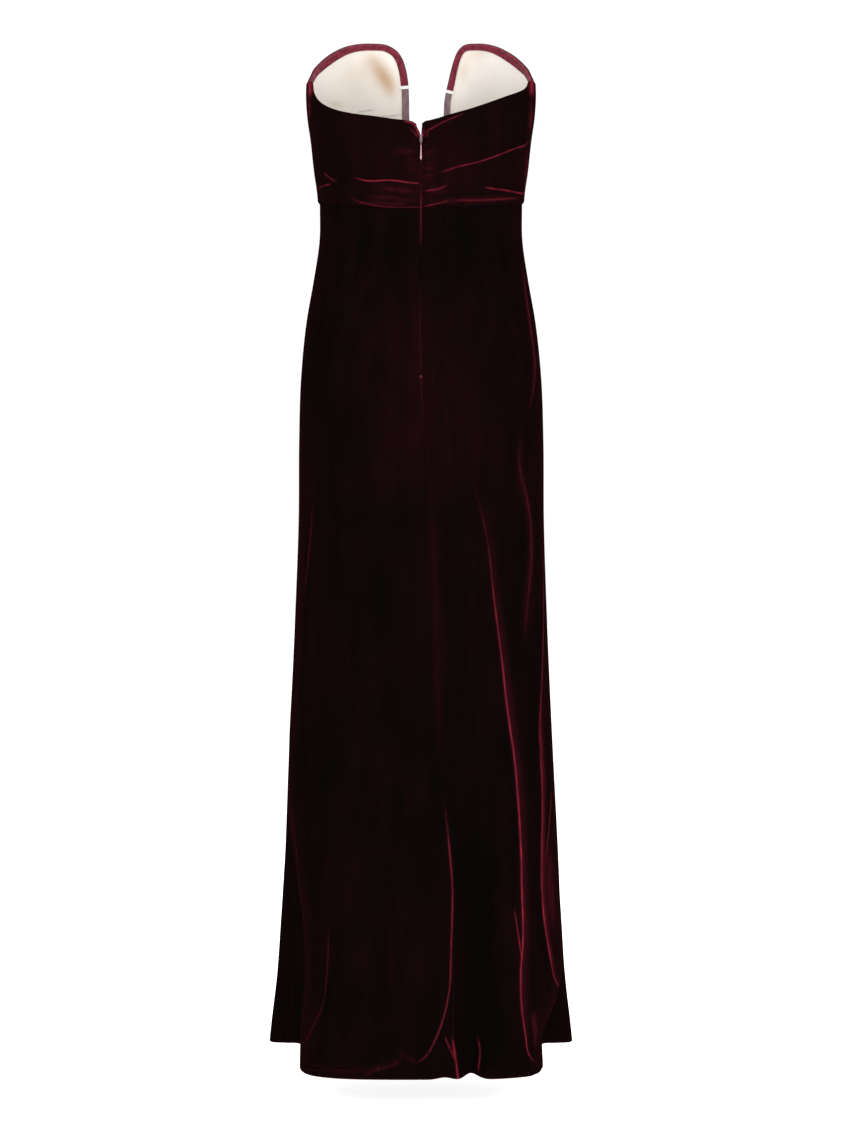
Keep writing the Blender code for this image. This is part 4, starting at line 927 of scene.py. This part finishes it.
# painted highlights and glows over the back bodice, the glows strongest at the sides
backGlow = (
    (0.75, 1.2, 1.2, 0.2, 0.3, (-24, 96.2, -15, 95.2, -9.2, 92.8, -6.8, 88, -4.8, 84, -3.4, 79, -3, 74)),
    (0.22, 1.6, 1.6, 0.3, 0.3, (-15, 88, -11, 84, -6.5, 78, -4, 73)),
    (0.3, 1.2, 1.2, 0.2, 0.3, (4, 87, 3, 81, 3.4, 74)),
    (0.14, 1.6, 1.6, 0.3, 0.3, (5, 84, 9, 80, 6, 74)),
    (0.16, 5, 5, 0.45, 0.45, (142.5, 70, 141, 35, 138, 6)),
    (0.16, 6, 6, 0.45, 0.45, (148, 140, 147.5, 108, 145.5, 82)),
    (0.55, 2.6, 2.6, 0.1, 0.4, (149, 168, 148.5, 157, 147.8, 150, 147, 138)),
    (0.5, 2.4, 2.4, 0.1, 0.4, (-150, 168, -149.6, 156, -148.6, 148, -147.8, 136)),
    (0.14, 5.5, 5.5, 0.4, 0.4, (-149, 142, -150, 125, -149, 108)),
    (0.34, 10, 10, 0.05, 0.35, (149.2, 174, 149, 152, 148, 135)),
    (0.34, 10, 10, 0.05, 0.35, (-149.2, 174, -149, 152, -148, 135)),
    (0.009, 34, 34, 0.3, 0.3, (-90, 25, 0, 32, 90, 35)),
    (0.01, 16, 16, 0.2, 0.2, (0, 78, 0, 30, 0, -18)),
    (0.03, 5, 5, 0.3, 0.6, (-6, 50, -24, 56, -45, 61)),
    (0.03, 6, 6, 0.3, 0.6, (-6, 6, -35, 6, -70, 11)),
    (0.06, 4, 4, 0.3, 0.6, (-10, -11, -40, -12, -80, -4)),
    (0.05, 5, 5, 0.3, 0.6, (6, 4, 20, 6, 40, 6)),
    (0.04, 4, 4, 0.3, 0.3, (10, -9, 50, -7, 120, -2)),
)


def bodiceForm(a, z):
    side, back, front = columnsAt(bodice["rows"], z)
    s, c = squircle(a, bodice["square"])
    x = side * s
    cup = bell(np.abs(x) - bodice["cupX"], bodice["cupReachX"])
    cup = cup * bell(z - bodice["cupZ"], bodice["cupReachZ"])
    hollow = 1.0 - bell(x, bodice["cupHollow"])
    y = bodice["cupRise"] * cup * hollow * ease(-2.0 * c) - c * np.where(c > 0, back, front)
    return np.stack([x, y, z], -1)


def gathers(rows, reach, amount=None):
    # short tucks on both sides of a seam, uneven in length and strength
    rng = np.random.default_rng(11)
    lines = []
    for sign in sides.values():
        for z, length, slope, rise in rows:
            late, share, long = (rng.uniform(*spread) for spread in bodice["gatherSpread"])
            start, length = bodice["gatherStart"] * late, length * long
            path = ((start, z), (start + length / 2, z + bodice["gatherBow"] * slope * length),
                    (start + length, z + slope * length))
            lines.append(Line((rise if amount is None else amount * share), reach, reach,
                              *bodice["gatherEnds"], tuple((sign * x, height) for x, height in path)))
    return tuple(lines)


def onBoth(lines):
    return tuple(line._replace(path=[(sign * x, z) for x, z in line.path])
                 for sign in sides.values() for line in lines)


def risen(rows):
    return linesOf(((rise, 2 * left, 2 * right, start, end, path)
                    for rise, _, left, right, start, end, path in rows), mm)


def shone(rows):
    return linesOf(row[1:] for row in rows)


gatherReach = bodice["gatherReach"]
bodiceLift = {
    "back": linesOf(backFolds, mm) + gathers(bodice["backGathers"], gatherReach) + risen(backLines),
    "front": (onBoth(linesOf(frontFolds, mm)) + gathers(bodice["frontGathers"], gatherReach)
              + risen(frontLines)),
}
# painted highlights over the bodice velvet: along the gathers, the creases and the glows
bodiceShine = {
    "back": gathers(bodice["backGathers"], *bodice["backGlow"]) + linesOf(backGlow) + shone(backLines),
    "front": gathers(bodice["frontGathers"], *bodice["frontGlow"]) + shone(frontLines),
}


def bodiceCloth(a, z, laps):
    point, normal = bodiceForm(a, z), outward(bodiceForm, a, z)
    flat = ease(np.abs(point[..., 0]) / (2 * bodice["gatherStart"]))
    lift = allLines(bodiceForm, bodiceLift, point, normal) * flat
    # painted highlight: a faint even glow and the lines of shine
    shine = bodice["glow"] + allLines(bodiceForm, bodiceShine, point, normal)
    raised = point + normal * lift[..., None]
    return (*edgesDressed(raised, normal, bodice["wall"], bodice["edges"], laps), shine)


def backEdge(side, a):
    path = smoothPath(bodice["backEdge"][side][::-1])
    turns = np.maximum.accumulate(anglesAt(bodiceForm, "back", path))
    turns[-1] = sideTurn
    return np.interp(a, turns, path[:, 1])


def bodiceBack(side):
    share, first, last = (v[None, :] for v in graded(
        bodice["backAcross"], bodice["margins"], bodice["backPace"]))
    turns = sideTurn * share[0]
    creases = [line for line in bodiceShine["back"]
               if line.path[0][0] * sides[side] > 0 and line.amount > bodice["brightCrease"]]
    inner = drawnTogether(tracksOf(bodiceForm, "back", creases, False), turns, waistSeam(turns),
                          backEdge(side, turns), bodice["backHigh"], bodice["drawn"]).T
    steps = np.asarray(bodice["margins"])
    ends = np.zeros((len(steps), len(turns)))
    rise = np.concatenate([ends, inner, ends + 1.0])
    bottom = np.concatenate([ends + steps[:, None], steps[-1] * (1 - inner), ends])
    top = np.concatenate([ends, steps[-1] * inner, ends + steps[::-1, None]])
    z = np.zeros(rise.shape)
    a = sideTurn * share + 0.0 * z
    for _ in range(solving):
        z = mix(waistSeam(a) + seamGap / 2, backEdge(side, np.clip(a, 0.0, sideTurn)), rise) + bottom - top
        opening = columnsAt(bodice["zip"], z)[("left", "right").index(side)]
        near = turnOf(bodiceForm, np.zeros(z.shape), z, opening)
        far = sideTurn - turnOf(bodiceForm, np.full(z.shape, sideTurn), z, seamGap / 2)
        a = mix(near, far, share)
        a = a + turnOf(bodiceForm, near, z, first) - turnOf(bodiceForm, far, z, last)
    lapped = ease((bodice["lapTop"] - z) / bodice["lapEase"])
    laps = {"first": -sides[side] * seamLap * lapped, "last": seamLap}
    outer, inner, distance, shine = bodiceCloth(sides[side] * a, z, laps)
    # painted highlight along the centre back seam
    (along,) = columnsAt(skirt["seamShine"], z)
    shine = shine + along * bell(distance["first"], bodice["seamReach"]) * (z < bodice["seamTop"])
    name = "bodiceBack" + side.capitalize()
    obj = shell(name, outer, inner, {"shine": shine}, ("ruchedVelvet", "velvetBacking"))
    stoodFor(obj, "wine_velvet", "bodice_back_" + side)


def cupEdge(side, shares):
    path = bodice["cupEdge"] + bodice["notchEdge"][side]
    turns = anglesAt(bodiceForm, "front", path)
    turns[0], turns[-1] = sideTurn, frontTurn
    heights = np.array([z for _, z in path])
    run = runAlong(bodiceForm(turns, heights))
    return hermite(shares * run[-1], run, turns), hermite(shares * run[-1], run, heights)


def withinSeams(a, z):
    first = sideTurn + turnOf(bodiceForm, np.full(z.shape, sideTurn), z, seamGap / 2)
    last = frontTurn - turnOf(bodiceForm, np.full(z.shape, frontTurn), z, seamGap / 2)
    return np.clip(a, first, last), z


def insideEdge(side, shares, distances):
    a, z = cupEdge(side, shares)
    around, up = stepsOf(bodiceForm, a, z)
    inward = unit(np.cross(np.gradient(bodiceForm(a, z), axis=0), np.cross(around, up)))
    moves = (np.linalg.pinv(np.stack([around, up], -1)) @ inward[..., None])[..., 0]
    return withinSeams(a + distances * moves[:, 0], z + distances * moves[:, 1])


def asWorn(points):
    x, y, z = points[..., 0], points[..., 1], points[..., 2]
    inner = np.clip(1.0 - (x / bodice["shiftX"]) ** 2, 0.0, 1.0) ** 2
    shift = bodice["notchShift"] * inner * ease(y / bodice["shiftY"]) * ease(z / bodice["shiftZ"])
    return np.stack([x + shift, y, z], -1)


def frontShares(count):
    # close together at both seams
    *ends, last = bodice["frontMargins"]
    inner = mix(last, 1.0 - last, np.linspace(0.0, 1.0, count))
    return np.concatenate([ends, inner, 1.0 - np.array(ends[::-1])])


def frontGrid(side, inset, high, across, margins):
    shares = frontShares(across)
    lowTurn = mix(sideTurn, frontTurn, np.interp(shares, *zip(*bodice["fan"])))
    steps = np.asarray(margins)
    topA, topZ = insideEdge(side, shares, inset + steps[::-1][:, None])
    edgeA, edgeZ = topA[0], topZ[0]
    up = np.linspace(0.0, 1.0, high)[:-1, None]
    bottom = seamGap / 2 + inset
    low = bottom + steps[:, None] + 0.0 * shares
    inner = mix(bottom + steps[-1], edgeZ, up)[1:]
    a = np.concatenate([lowTurn + 0.0 * low, mix(lowTurn, edgeA, up)[1:], topA])
    z = np.concatenate([low, inner, topZ])
    pull = bodice["frontPull"]
    a = a + (sideTurn - a[:, :1]) * ease(1.0 - shares / pull)
    a = a + (frontTurn - a[:, -1:]) * ease(1.0 - (1.0 - shares) / pull)
    return withinSeams(a, z)


def bodiceFront(side):
    a, z = frontGrid(side, 0.0, bodice["frontHigh"], bodice["frontAcross"], bodice["margins"])
    outer, inner, distance, shine = bodiceCloth(
        sides[side] * a, z, {"first": seamLap, "last": seamLap * sides[side]})
    # painted highlight along the free top edge
    shine = shine + bodice["edgeShine"] * bell(distance["bottom"], bodice["edgeReach"])
    outer, inner = asWorn(outer), asWorn(inner)
    name = "bodiceFront" + side.capitalize()
    obj = shell(name, outer, inner, {"shine": shine}, ("ruchedVelvet", "velvetBacking"))
    stoodFor(obj, "wine_velvet", "bodice_front_" + side)


print("bodice")
for side in sides:
    bodiceBack(side)
    bodiceFront(side)

# Trims inside the cups. The facing's width goes by its share of length from the side seam.
trims = {
    "liningWall": 0.0012, "lining": (100, 90, (0.0, 0.0004, 0.0010)),  # rows, columns and margins
    "trimWall": 0.0009, "trimGap": 0.0006, "inset": 0.0048, "lift": 0.0001,
    "facing": ((0.0, 0.0062), (0.12, 0.0080), (0.35, 0.0112), (0.55, 0.0088), (1.0, 0.0090)),
    "facingRim": 0.0009,
    "casingWidth": 0.0086, "tabWidth": 0.0108, "tabLength": 0.0045, "tabWall": 0.0007, "tabRim": 0.0020,
    "tabHeight": {"left": 0.1735, "right": 0.1680},
    "rimDepth": 0.0014, "rimReach": 0.0017,
    "stitch": (0.0028, 0.0019, 0.00017), "stitchIn": 0.0011,  # pitch, length and radius
    "along": 150, "across": 12, "tabAlong": 14, "measured": 2001,
    # painted shade on the lining: where it turns greyer, tan patches (share, x, z, reach along x and z) and
    # creases (x at both ends, then z at both ends)
    "shadeTop": 0.190, "shadeReach": 0.085,
    "tan": (
        (0.22, -0.0900, 0.1900, 0.0300, 0.0300), (0.32, -0.0680, 0.2100, 0.0120, 0.0110),
        (0.42, -0.0600, 0.2000, 0.0125, 0.0115), (0.55, -0.0530, 0.1900, 0.0125, 0.0115),
        (0.58, -0.0465, 0.1790, 0.0120, 0.0115), (0.40, -0.0410, 0.1680, 0.0105, 0.0120),
        (0.28, 0.0794, 0.2170, 0.0150, 0.0080), (0.26, 0.0576, 0.1920, 0.0080, 0.0150),
        (0.14, 0.0625, 0.2074, 0.0170, 0.0170), (0.30, -0.1180, 0.1460, 0.0090, 0.0045)),
    "creases": ((-0.0920, -0.0640, 0.1385, 0.1440), (-0.0640, -0.0240, 0.1331, 0.1354)),
    "creaseShadeReach": 0.0011, "creaseShadeShare": 0.6,
}


def softPatches(grid, patches):
    # how much of a tone lies at each point: share, x, z, reach along x and z
    return sum(share * bell(grid[..., 0] - x, wide) * bell(grid[..., 2] - z, high)
               for share, x, z, wide, high in patches)


def under(side, grid, depth):
    # points at a depth under the bodice's outer face
    a, z = sides[side] * grid[0], grid[1]
    return asWorn(bodiceForm(a, z) - outward(bodiceForm, a, z) * np.asarray(depth)[..., None])


def inlay(name, side, grid, depth, wall, material, slot, node, shades=None):
    outer, inner = under(side, grid, depth), under(side, grid, np.asarray(depth) + wall)
    obj = shell(name, inner, outer, shades(inner) if shades else {}, (material,))
    stoodFor(obj, slot, node + "_" + side)
    return obj, inner


def liningShades(point):
    # painted shade on the lining: greyer towards the waist, tan patches, and two thin creases low in the
    # left cup
    low = ease((trims["shadeTop"] - point[..., 2]) / trims["shadeReach"])
    creaseShade = 0.0
    for startX, endX, startZ, endZ in trims["creases"]:
        along = (point[..., 0] - startX) / (endX - startX)
        fold = bell(point[..., 2] - mix(startZ, endZ, along), trims["creaseShadeReach"])
        creaseShade = creaseShade + fold * ease(4.0 * along) * ease(4.0 * (1.0 - along))
    return {"lowShade": low, "tan": np.clip(softPatches(point, trims["tan"]), 0.0, 1.0),
            "creaseShade": trims["creaseShadeShare"] * np.clip(creaseShade, 0.0, 1.0)}


def wrapped(distance, depth, start=None):
    # a trim starts on the rim of the velvet and rolls over the lining
    start = trims["rimDepth"] if start is None else start
    return mix(start, depth, ease(distance / trims["rimReach"]))


def cupTrims(side):
    label = side.capitalize()
    depth = bodice["wall"] + seamGap
    grid = frontGrid(side, trims["inset"], *trims["lining"])
    lining, liningGrid = inlay("cupLining" + label, side, grid, np.full(grid[0].shape, depth),
                               trims["liningWall"], "liningCream", "cream_lining", "cup_lining",
                               liningShades)
    shares = np.linspace(0.0, 1.0, trims["measured"])
    turns, heights = cupEdge(side, shares)
    length = runAlong(bodiceForm(turns, heights))[-1]
    pastTop = heights.argmax()
    middle = shares[pastTop + (heights[pastTop:] < trims["tabHeight"][side]).argmax()]
    gap, halfTab = 0.2 * trims["trimGap"] / length, trims["tabLength"] / 2 / length
    across = np.linspace(0.0, 1.0, trims["across"])[:, None]
    depth += trims["liningWall"] + trims["lift"]
    along = np.linspace(0.0, middle - gap, trims["along"])
    (widths,) = columnsAt(trims["facing"], along / middle)
    distance = mix(trims["facingRim"] + 0.0 * widths, widths + trims["facingRim"] / 2, across)
    facing, _ = inlay("edgeFacing" + label, side, insideEdge(side, along, distance),
                      wrapped(distance, depth), trims["trimWall"], "facingBurgundy",
                      "burgundy_facing", "edge_facing")
    along = np.linspace(middle + gap, 1.0, trims["along"] // 2)
    distance = across * trims["casingWidth"] + 0.0 * along
    casing, _ = inlay("notchCasing" + label, side, insideEdge(side, along, distance),
                      wrapped(distance, depth), trims["trimWall"], "casingMauve", "mauve_casing",
                      "notch_casing")
    sewn = depth + trims["trimWall"]
    along = np.linspace(0.02 * middle, middle - 1.5 * halfTab, 3 * trims["along"])
    (widths,) = columnsAt(trims["facing"], along / middle)
    row = insideEdge(side, along, widths - trims["stitchIn"])
    facingRow = under(side, row, np.full(along.shape, sewn))
    stitches = [setAlong("facingStitches" + label, [facingRow], trims["stitch"], "wineThread",
                         "burgundy_facing", seed=5)]
    along = np.linspace(middle + 1.5 * halfTab, 0.99, 2 * trims["along"])
    rim = trims["rimDepth"] + trims["trimWall"]
    rows = [np.full(along.shape, width) for width in (
        trims["stitchIn"], trims["casingWidth"] - trims["stitchIn"])]
    casingRows = [under(side, insideEdge(side, along, row), wrapped(row, sewn, rim)) for row in rows]
    stitches.append(setAlong("casingStitches" + label, casingRows, trims["stitch"], "mauveThread",
                             "mauve_casing", seed=6))
    depth += trims["trimWall"] + trims["lift"]
    along = np.linspace(middle - halfTab, middle + halfTab, trims["tabAlong"])
    distance = across * trims["tabWidth"] + 0.0 * along
    tab, _ = inlay("tab" + label, side, insideEdge(side, along, distance),
                   wrapped(distance, depth, trims["tabRim"]), trims["tabWall"], "tabWhite", "white_tab",
                   "tab")


print("cup trims")
for side in sides:
    cupTrims(side)

# Zip: two halves of tape, the coil, the bar tack, the pull and the slider. The pull's rows give
# how far down and the half-width there.
zipper = {
    "tapeWidth": 0.0240, "tapeWall": 0.0009, "tapeHigh": 130, "tapeAcross": 9, "bottom": -0.248,
    "top": 0.0900, "clear": 0.0006, "waist": -0.018, "stepReach": 0.060,
    "coil": (0.0014, 0.0022, 0.00032), "coilHigh": 200, "coilEnds": (0.006, 0.004),  # pitch, length, radius
    "coilOut": 0.0004, "coilLift": 0.0002, "stitch": (0.0030, 0.0021, 0.00018), "stitchColumn": 6,
    "tackHigh": -0.2425, "tackHalf": 0.0011, "tack": (0.0007, 0.0011, 0.00022),
    "tackReach": 0.0018, "tackThreads": 7,
    "pullWall": 0.0013, "pullThin": 0.0009, "pullRings": 26, "pullRound": 20, "barDrop": 0.0015,
    "pull": ((0.0010, 0.0006), (0.0060, 0.0006), (0.0130, 0.0008), (0.0190, 0.0010), (0.0225, 0.0012),
             (0.0246, 0.0011), (0.0257, 0.0007), (0.0262, 0.0003)),
    "eyeOuter": 0.0014, "eyeInner": 0.0008, "eyeWide": 1.8, "eyeRound": 24, "eyeSides": 10, "shadedTop": 0.0075,
}


def depthBehind(form, x, z):
    turns = anglesAt(form, "back", np.stack([x.ravel(), z.ravel()], -1)).reshape(x.shape)
    return -form(turns, z)[..., 1]


def tapeSurface(x, z):
    # close under the skirt, and then under the bodice, with a slow step at the waist
    skirtDepth, bodiceDepth = (
        lambda x, z, form=form, under=piece["wall"]: depthBehind(form, x, z) - under
        for form, piece in ((skirtForm, skirt), (bodiceForm, bodice)))
    centre, waist = np.zeros(1), np.full(1, zipper["waist"])
    step = (bodiceDepth(centre, waist) - skirtDepth(centre, waist))[0]
    below = skirtDepth(x, z) - zipper["clear"]
    above = bodiceDepth(x, z) - zipper["clear"]
    above = above - step * (1.0 - ease((z - zipper["waist"]) / zipper["stepReach"]))
    return np.where(z < zipper["waist"], below, above)


def tapeOpening(side, heights):
    column = 1 + (side == "right")
    (opening,) = columnsAt([(row[0], row[column]) for row in bodice["tapeGap"]], heights)
    return opening


def zipTape(coil):
    heights = np.linspace(zipper["bottom"], zipper["top"], zipper["tapeHigh"])
    share = np.linspace(0.0, 1.0, zipper["tapeAcross"])
    wall = np.array([0.0, zipper["tapeWall"], 0.0])
    halves, strips = [], []
    for side, sign in sides.items():
        x = mix(tapeOpening(side, heights)[:, None], zipper["tapeWidth"] / 2, share[None, :]) * sign
        z = np.repeat(heights[:, None], zipper["tapeAcross"], 1)
        grid = np.stack([x, -tapeSurface(x, z), z], -1)
        halves.append(grid)
        strips.append(shell("zipTape", grid, grid + wall, {}, ("tapeWine",)))
    rows = [grid[:, zipper["stitchColumn"]] + wall for grid in halves]
    stitches = setAlong("tapeStitches", rows, zipper["stitch"], "wineThread", "wine_tape", seed=7)
    with bpy.context.temp_override(active_object=strips[0], selected_editable_objects=strips):
        bpy.ops.object.join()
    tape = strips[0]
    stoodFor(tape, "wine_tape", "zip_tape")


def zipCoil():
    low, high = zipper["coilEnds"]
    heights = np.linspace(zipper["bottom"] + low, zipper["top"] - high, zipper["coilHigh"])
    paths = []
    for side, sign in sides.items():
        x = sign * (tapeOpening(side, heights) + zipper["coilOut"])
        y = -tapeSurface(x, heights) + zipper["tapeWall"] + zipper["coilLift"]
        paths.append(np.stack([x, y, heights], -1))
    return setAlong("zipCoil", paths, zipper["coil"], "wineThread", "wine_tape", seed=4, turned=sideTurn)


def barTack():
    # a few threads across the seam where the zip ends
    paths = []
    reach = zipper["tackReach"]
    for z in zipper["tackHigh"] + np.linspace(-reach, reach, zipper["tackThreads"]):
        x = np.linspace(-zipper["tackHalf"], zipper["tackHalf"], 12)
        z = np.full(x.shape, z)
        swell = ease((-skirt["smoothBelow"] - z) / skirt["smoothReach"])
        lift = ripple(0.0, z, *skirt["ripple"]) * swell
        paths.append(np.stack([x, -depthBehind(skirtForm, x, z) - lift, z], -1))
    setAlong("barTack", paths, zipper["tack"], "wineThread", "wine_velvet", seed=9)


def around(count):
    return np.linspace(0, 2 * math.pi, count, endpoint=False)


def bridge(work, rings):
    # faces from each ring of vertices to the next
    for here, after in zip(rings, rings[1:]):
        for k in range(len(here)):
            n = (k + 1) % len(here)
            work.faces.new((here[k], after[k], after[n], here[n]))


def zipPull():
    # a rounded drop with an eye that hangs on the slider's bar; its top, under the slider, takes the darker
    # slider paint as painted shade
    low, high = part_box("zip_pull")
    bar = Vector(((low.x + high.x) / 2, (low.y + high.y) / 2, high.z - zipper["barDrop"]))
    work = bmesh.new()
    drop, eye = [], []
    below = np.linspace(zipper["pull"][0][0], zipper["pull"][-1][0], zipper["pullRings"])
    (halves,) = columnsAt(zipper["pull"], below)
    for down, half in zip(below, halves):
        flat = zipper["pullWall"] / 2 * min(1.0, half / zipper["pullThin"])
        drop.append([work.verts.new((bar.x + half * math.cos(t), bar.y + flat * math.sin(t), bar.z - down))
                     for t in around(zipper["pullRound"])])
    bridge(work, drop)
    work.faces.new(drop[0])
    work.faces.new(drop[-1])
    major = (zipper["eyeOuter"] + zipper["eyeInner"]) / 2
    minor = (zipper["eyeOuter"] - zipper["eyeInner"]) / 2
    for turn in around(zipper["eyeRound"]):
        ring = []
        for t in around(zipper["eyeSides"]):
            x, out = zipper["eyeWide"] * minor * math.sin(t), major + minor * math.cos(t)
            y, z = out * math.cos(turn), out * math.sin(turn)
            ring.append(work.verts.new((bar.x + x, bar.y + y, bar.z + z)))
        eye.append(ring)
    bridge(work, eye + eye[:1])
    # painted shade: faces near the bar, in the slider's shadow, take the darker slider paint
    for face in work.faces:
        face.material_index = int(face.calc_center_median().z > bar.z - zipper["shadedTop"])
    bmesh.ops.recalc_face_normals(work, faces=work.faces)
    mesh = bpy.data.meshes.new("zipPull")
    work.to_mesh(mesh)
    work.free()
    mesh.shade_smooth()
    obj = placed("zipPull", mesh, ("pullPaint", "sliderPaintAndPullShade"))
    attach(obj, "zip_pull")
    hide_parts("zip_pull")


print("zip")
zipTape(zipCoil())
barTack()
zipPull()
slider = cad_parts["zip_slider"]
for place in slider.material_slots:
    place.material = finishes["sliderPaintAndPullShade"]

# Studio: pale floor, soft lights and a level camera behind the gown
studio = {
    "floor": -1.19, "half": 30.0, "eye": (0.0007, -4.1, -0.485), "focal": 3037.0, "imageHigh": 1125.0,
    "ambient": ((1.0, 0.99, 0.98, 1), 0.62), "backdrop": ((1.0, 1.0, 1.0, 1), 1.05),
    "lights": (  # place, aim, width, height, power
        ((-2.6, -3.2, 1.6), (0.0, 0.0, -0.4), 2.2, 2.6, 75.0),
        ((2.6, -3.0, 1.2), (0.0, 0.0, -0.5), 1.8, 2.6, 75.0),
        ((0.0, -1.0, 3.0), (0.0, 0.0, -0.3), 2.5, 2.5, 40.0),
        ((0.0, 3.4, 1.4), (0.0, 0.0, -0.4), 2.5, 2.5, 60.0)),
}


def makeStudio():
    scene = bpy.context.scene
    scene.view_settings.view_transform = "Standard"
    world = bpy.data.worlds.new("studio")
    world.use_nodes = True
    scene.world = world
    tree = world.node_tree
    tree.nodes.clear()
    seen = joined(tree, "ShaderNodeLightPath").outputs["Is Camera Ray"]
    soft, plain = (joined(tree, "ShaderNodeBackground", {"Color": colour, "Strength": strength})
                   for colour, strength in (studio["ambient"], studio["backdrop"]))
    both = joined(tree, "ShaderNodeMixShader", {
        0: seen, 1: soft.outputs[0], 2: plain.outputs[0]}).outputs[0]
    joined(tree, "ShaderNodeOutputWorld", {0: both})
    tree, shader = newMaterial("paleFloor", {
        "Roughness": 0.9, "Specular IOR Level": 0.1, "Emission Strength": 0.85,
        "Emission Color": (1.0, 1.0, 1.0, 1.0)})
    tone = noise(tree, ownPlace(tree), 1.5, 2.0)
    pale = blended(tree, tone, (0.90, 0.90, 0.895, 1), (0.93, 0.93, 0.925, 1))
    tree.links.new(pale, shader["Base Color"])
    mesh = bpy.data.meshes.new("floor")
    half = studio["half"]
    corners = [(x * half, y * half, studio["floor"]) for x, y in ((-1, -1), (1, -1), (1, 1), (-1, 1))]
    mesh.from_pydata(corners, [], [(0, 1, 2, 3)])
    mesh.materials.append(finishes["paleFloor"])
    floor = bpy.data.objects.new("floor", mesh)
    scene.collection.objects.link(floor)
    for k, (place, aim, width, height, power) in enumerate(studio["lights"]):
        light = bpy.data.lights.new(f"softbox{k + 1}", "AREA")
        light.shape = "RECTANGLE"
        light.size, light.size_y, light.energy = width, height, power
        lamp = bpy.data.objects.new(light.name, light)
        scene.collection.objects.link(lamp)
        lamp.location = place
        lamp.rotation_euler = (Vector(aim) - Vector(place)).to_track_quat("-Z", "Y").to_euler()
    camera = bpy.data.cameras.new("camera")
    camera.sensor_fit = "VERTICAL"
    camera.sensor_height = 24.0
    camera.lens = studio["focal"] * camera.sensor_height / studio["imageHigh"]
    camera.clip_end = 100.0
    eye = bpy.data.objects.new("camera", camera)
    scene.collection.objects.link(eye)
    eye.location = studio["eye"]
    eye.rotation_euler = (math.radians(90.0), 0.0, 0.0)
    scene.camera = eye


print("studio")
makeStudio()
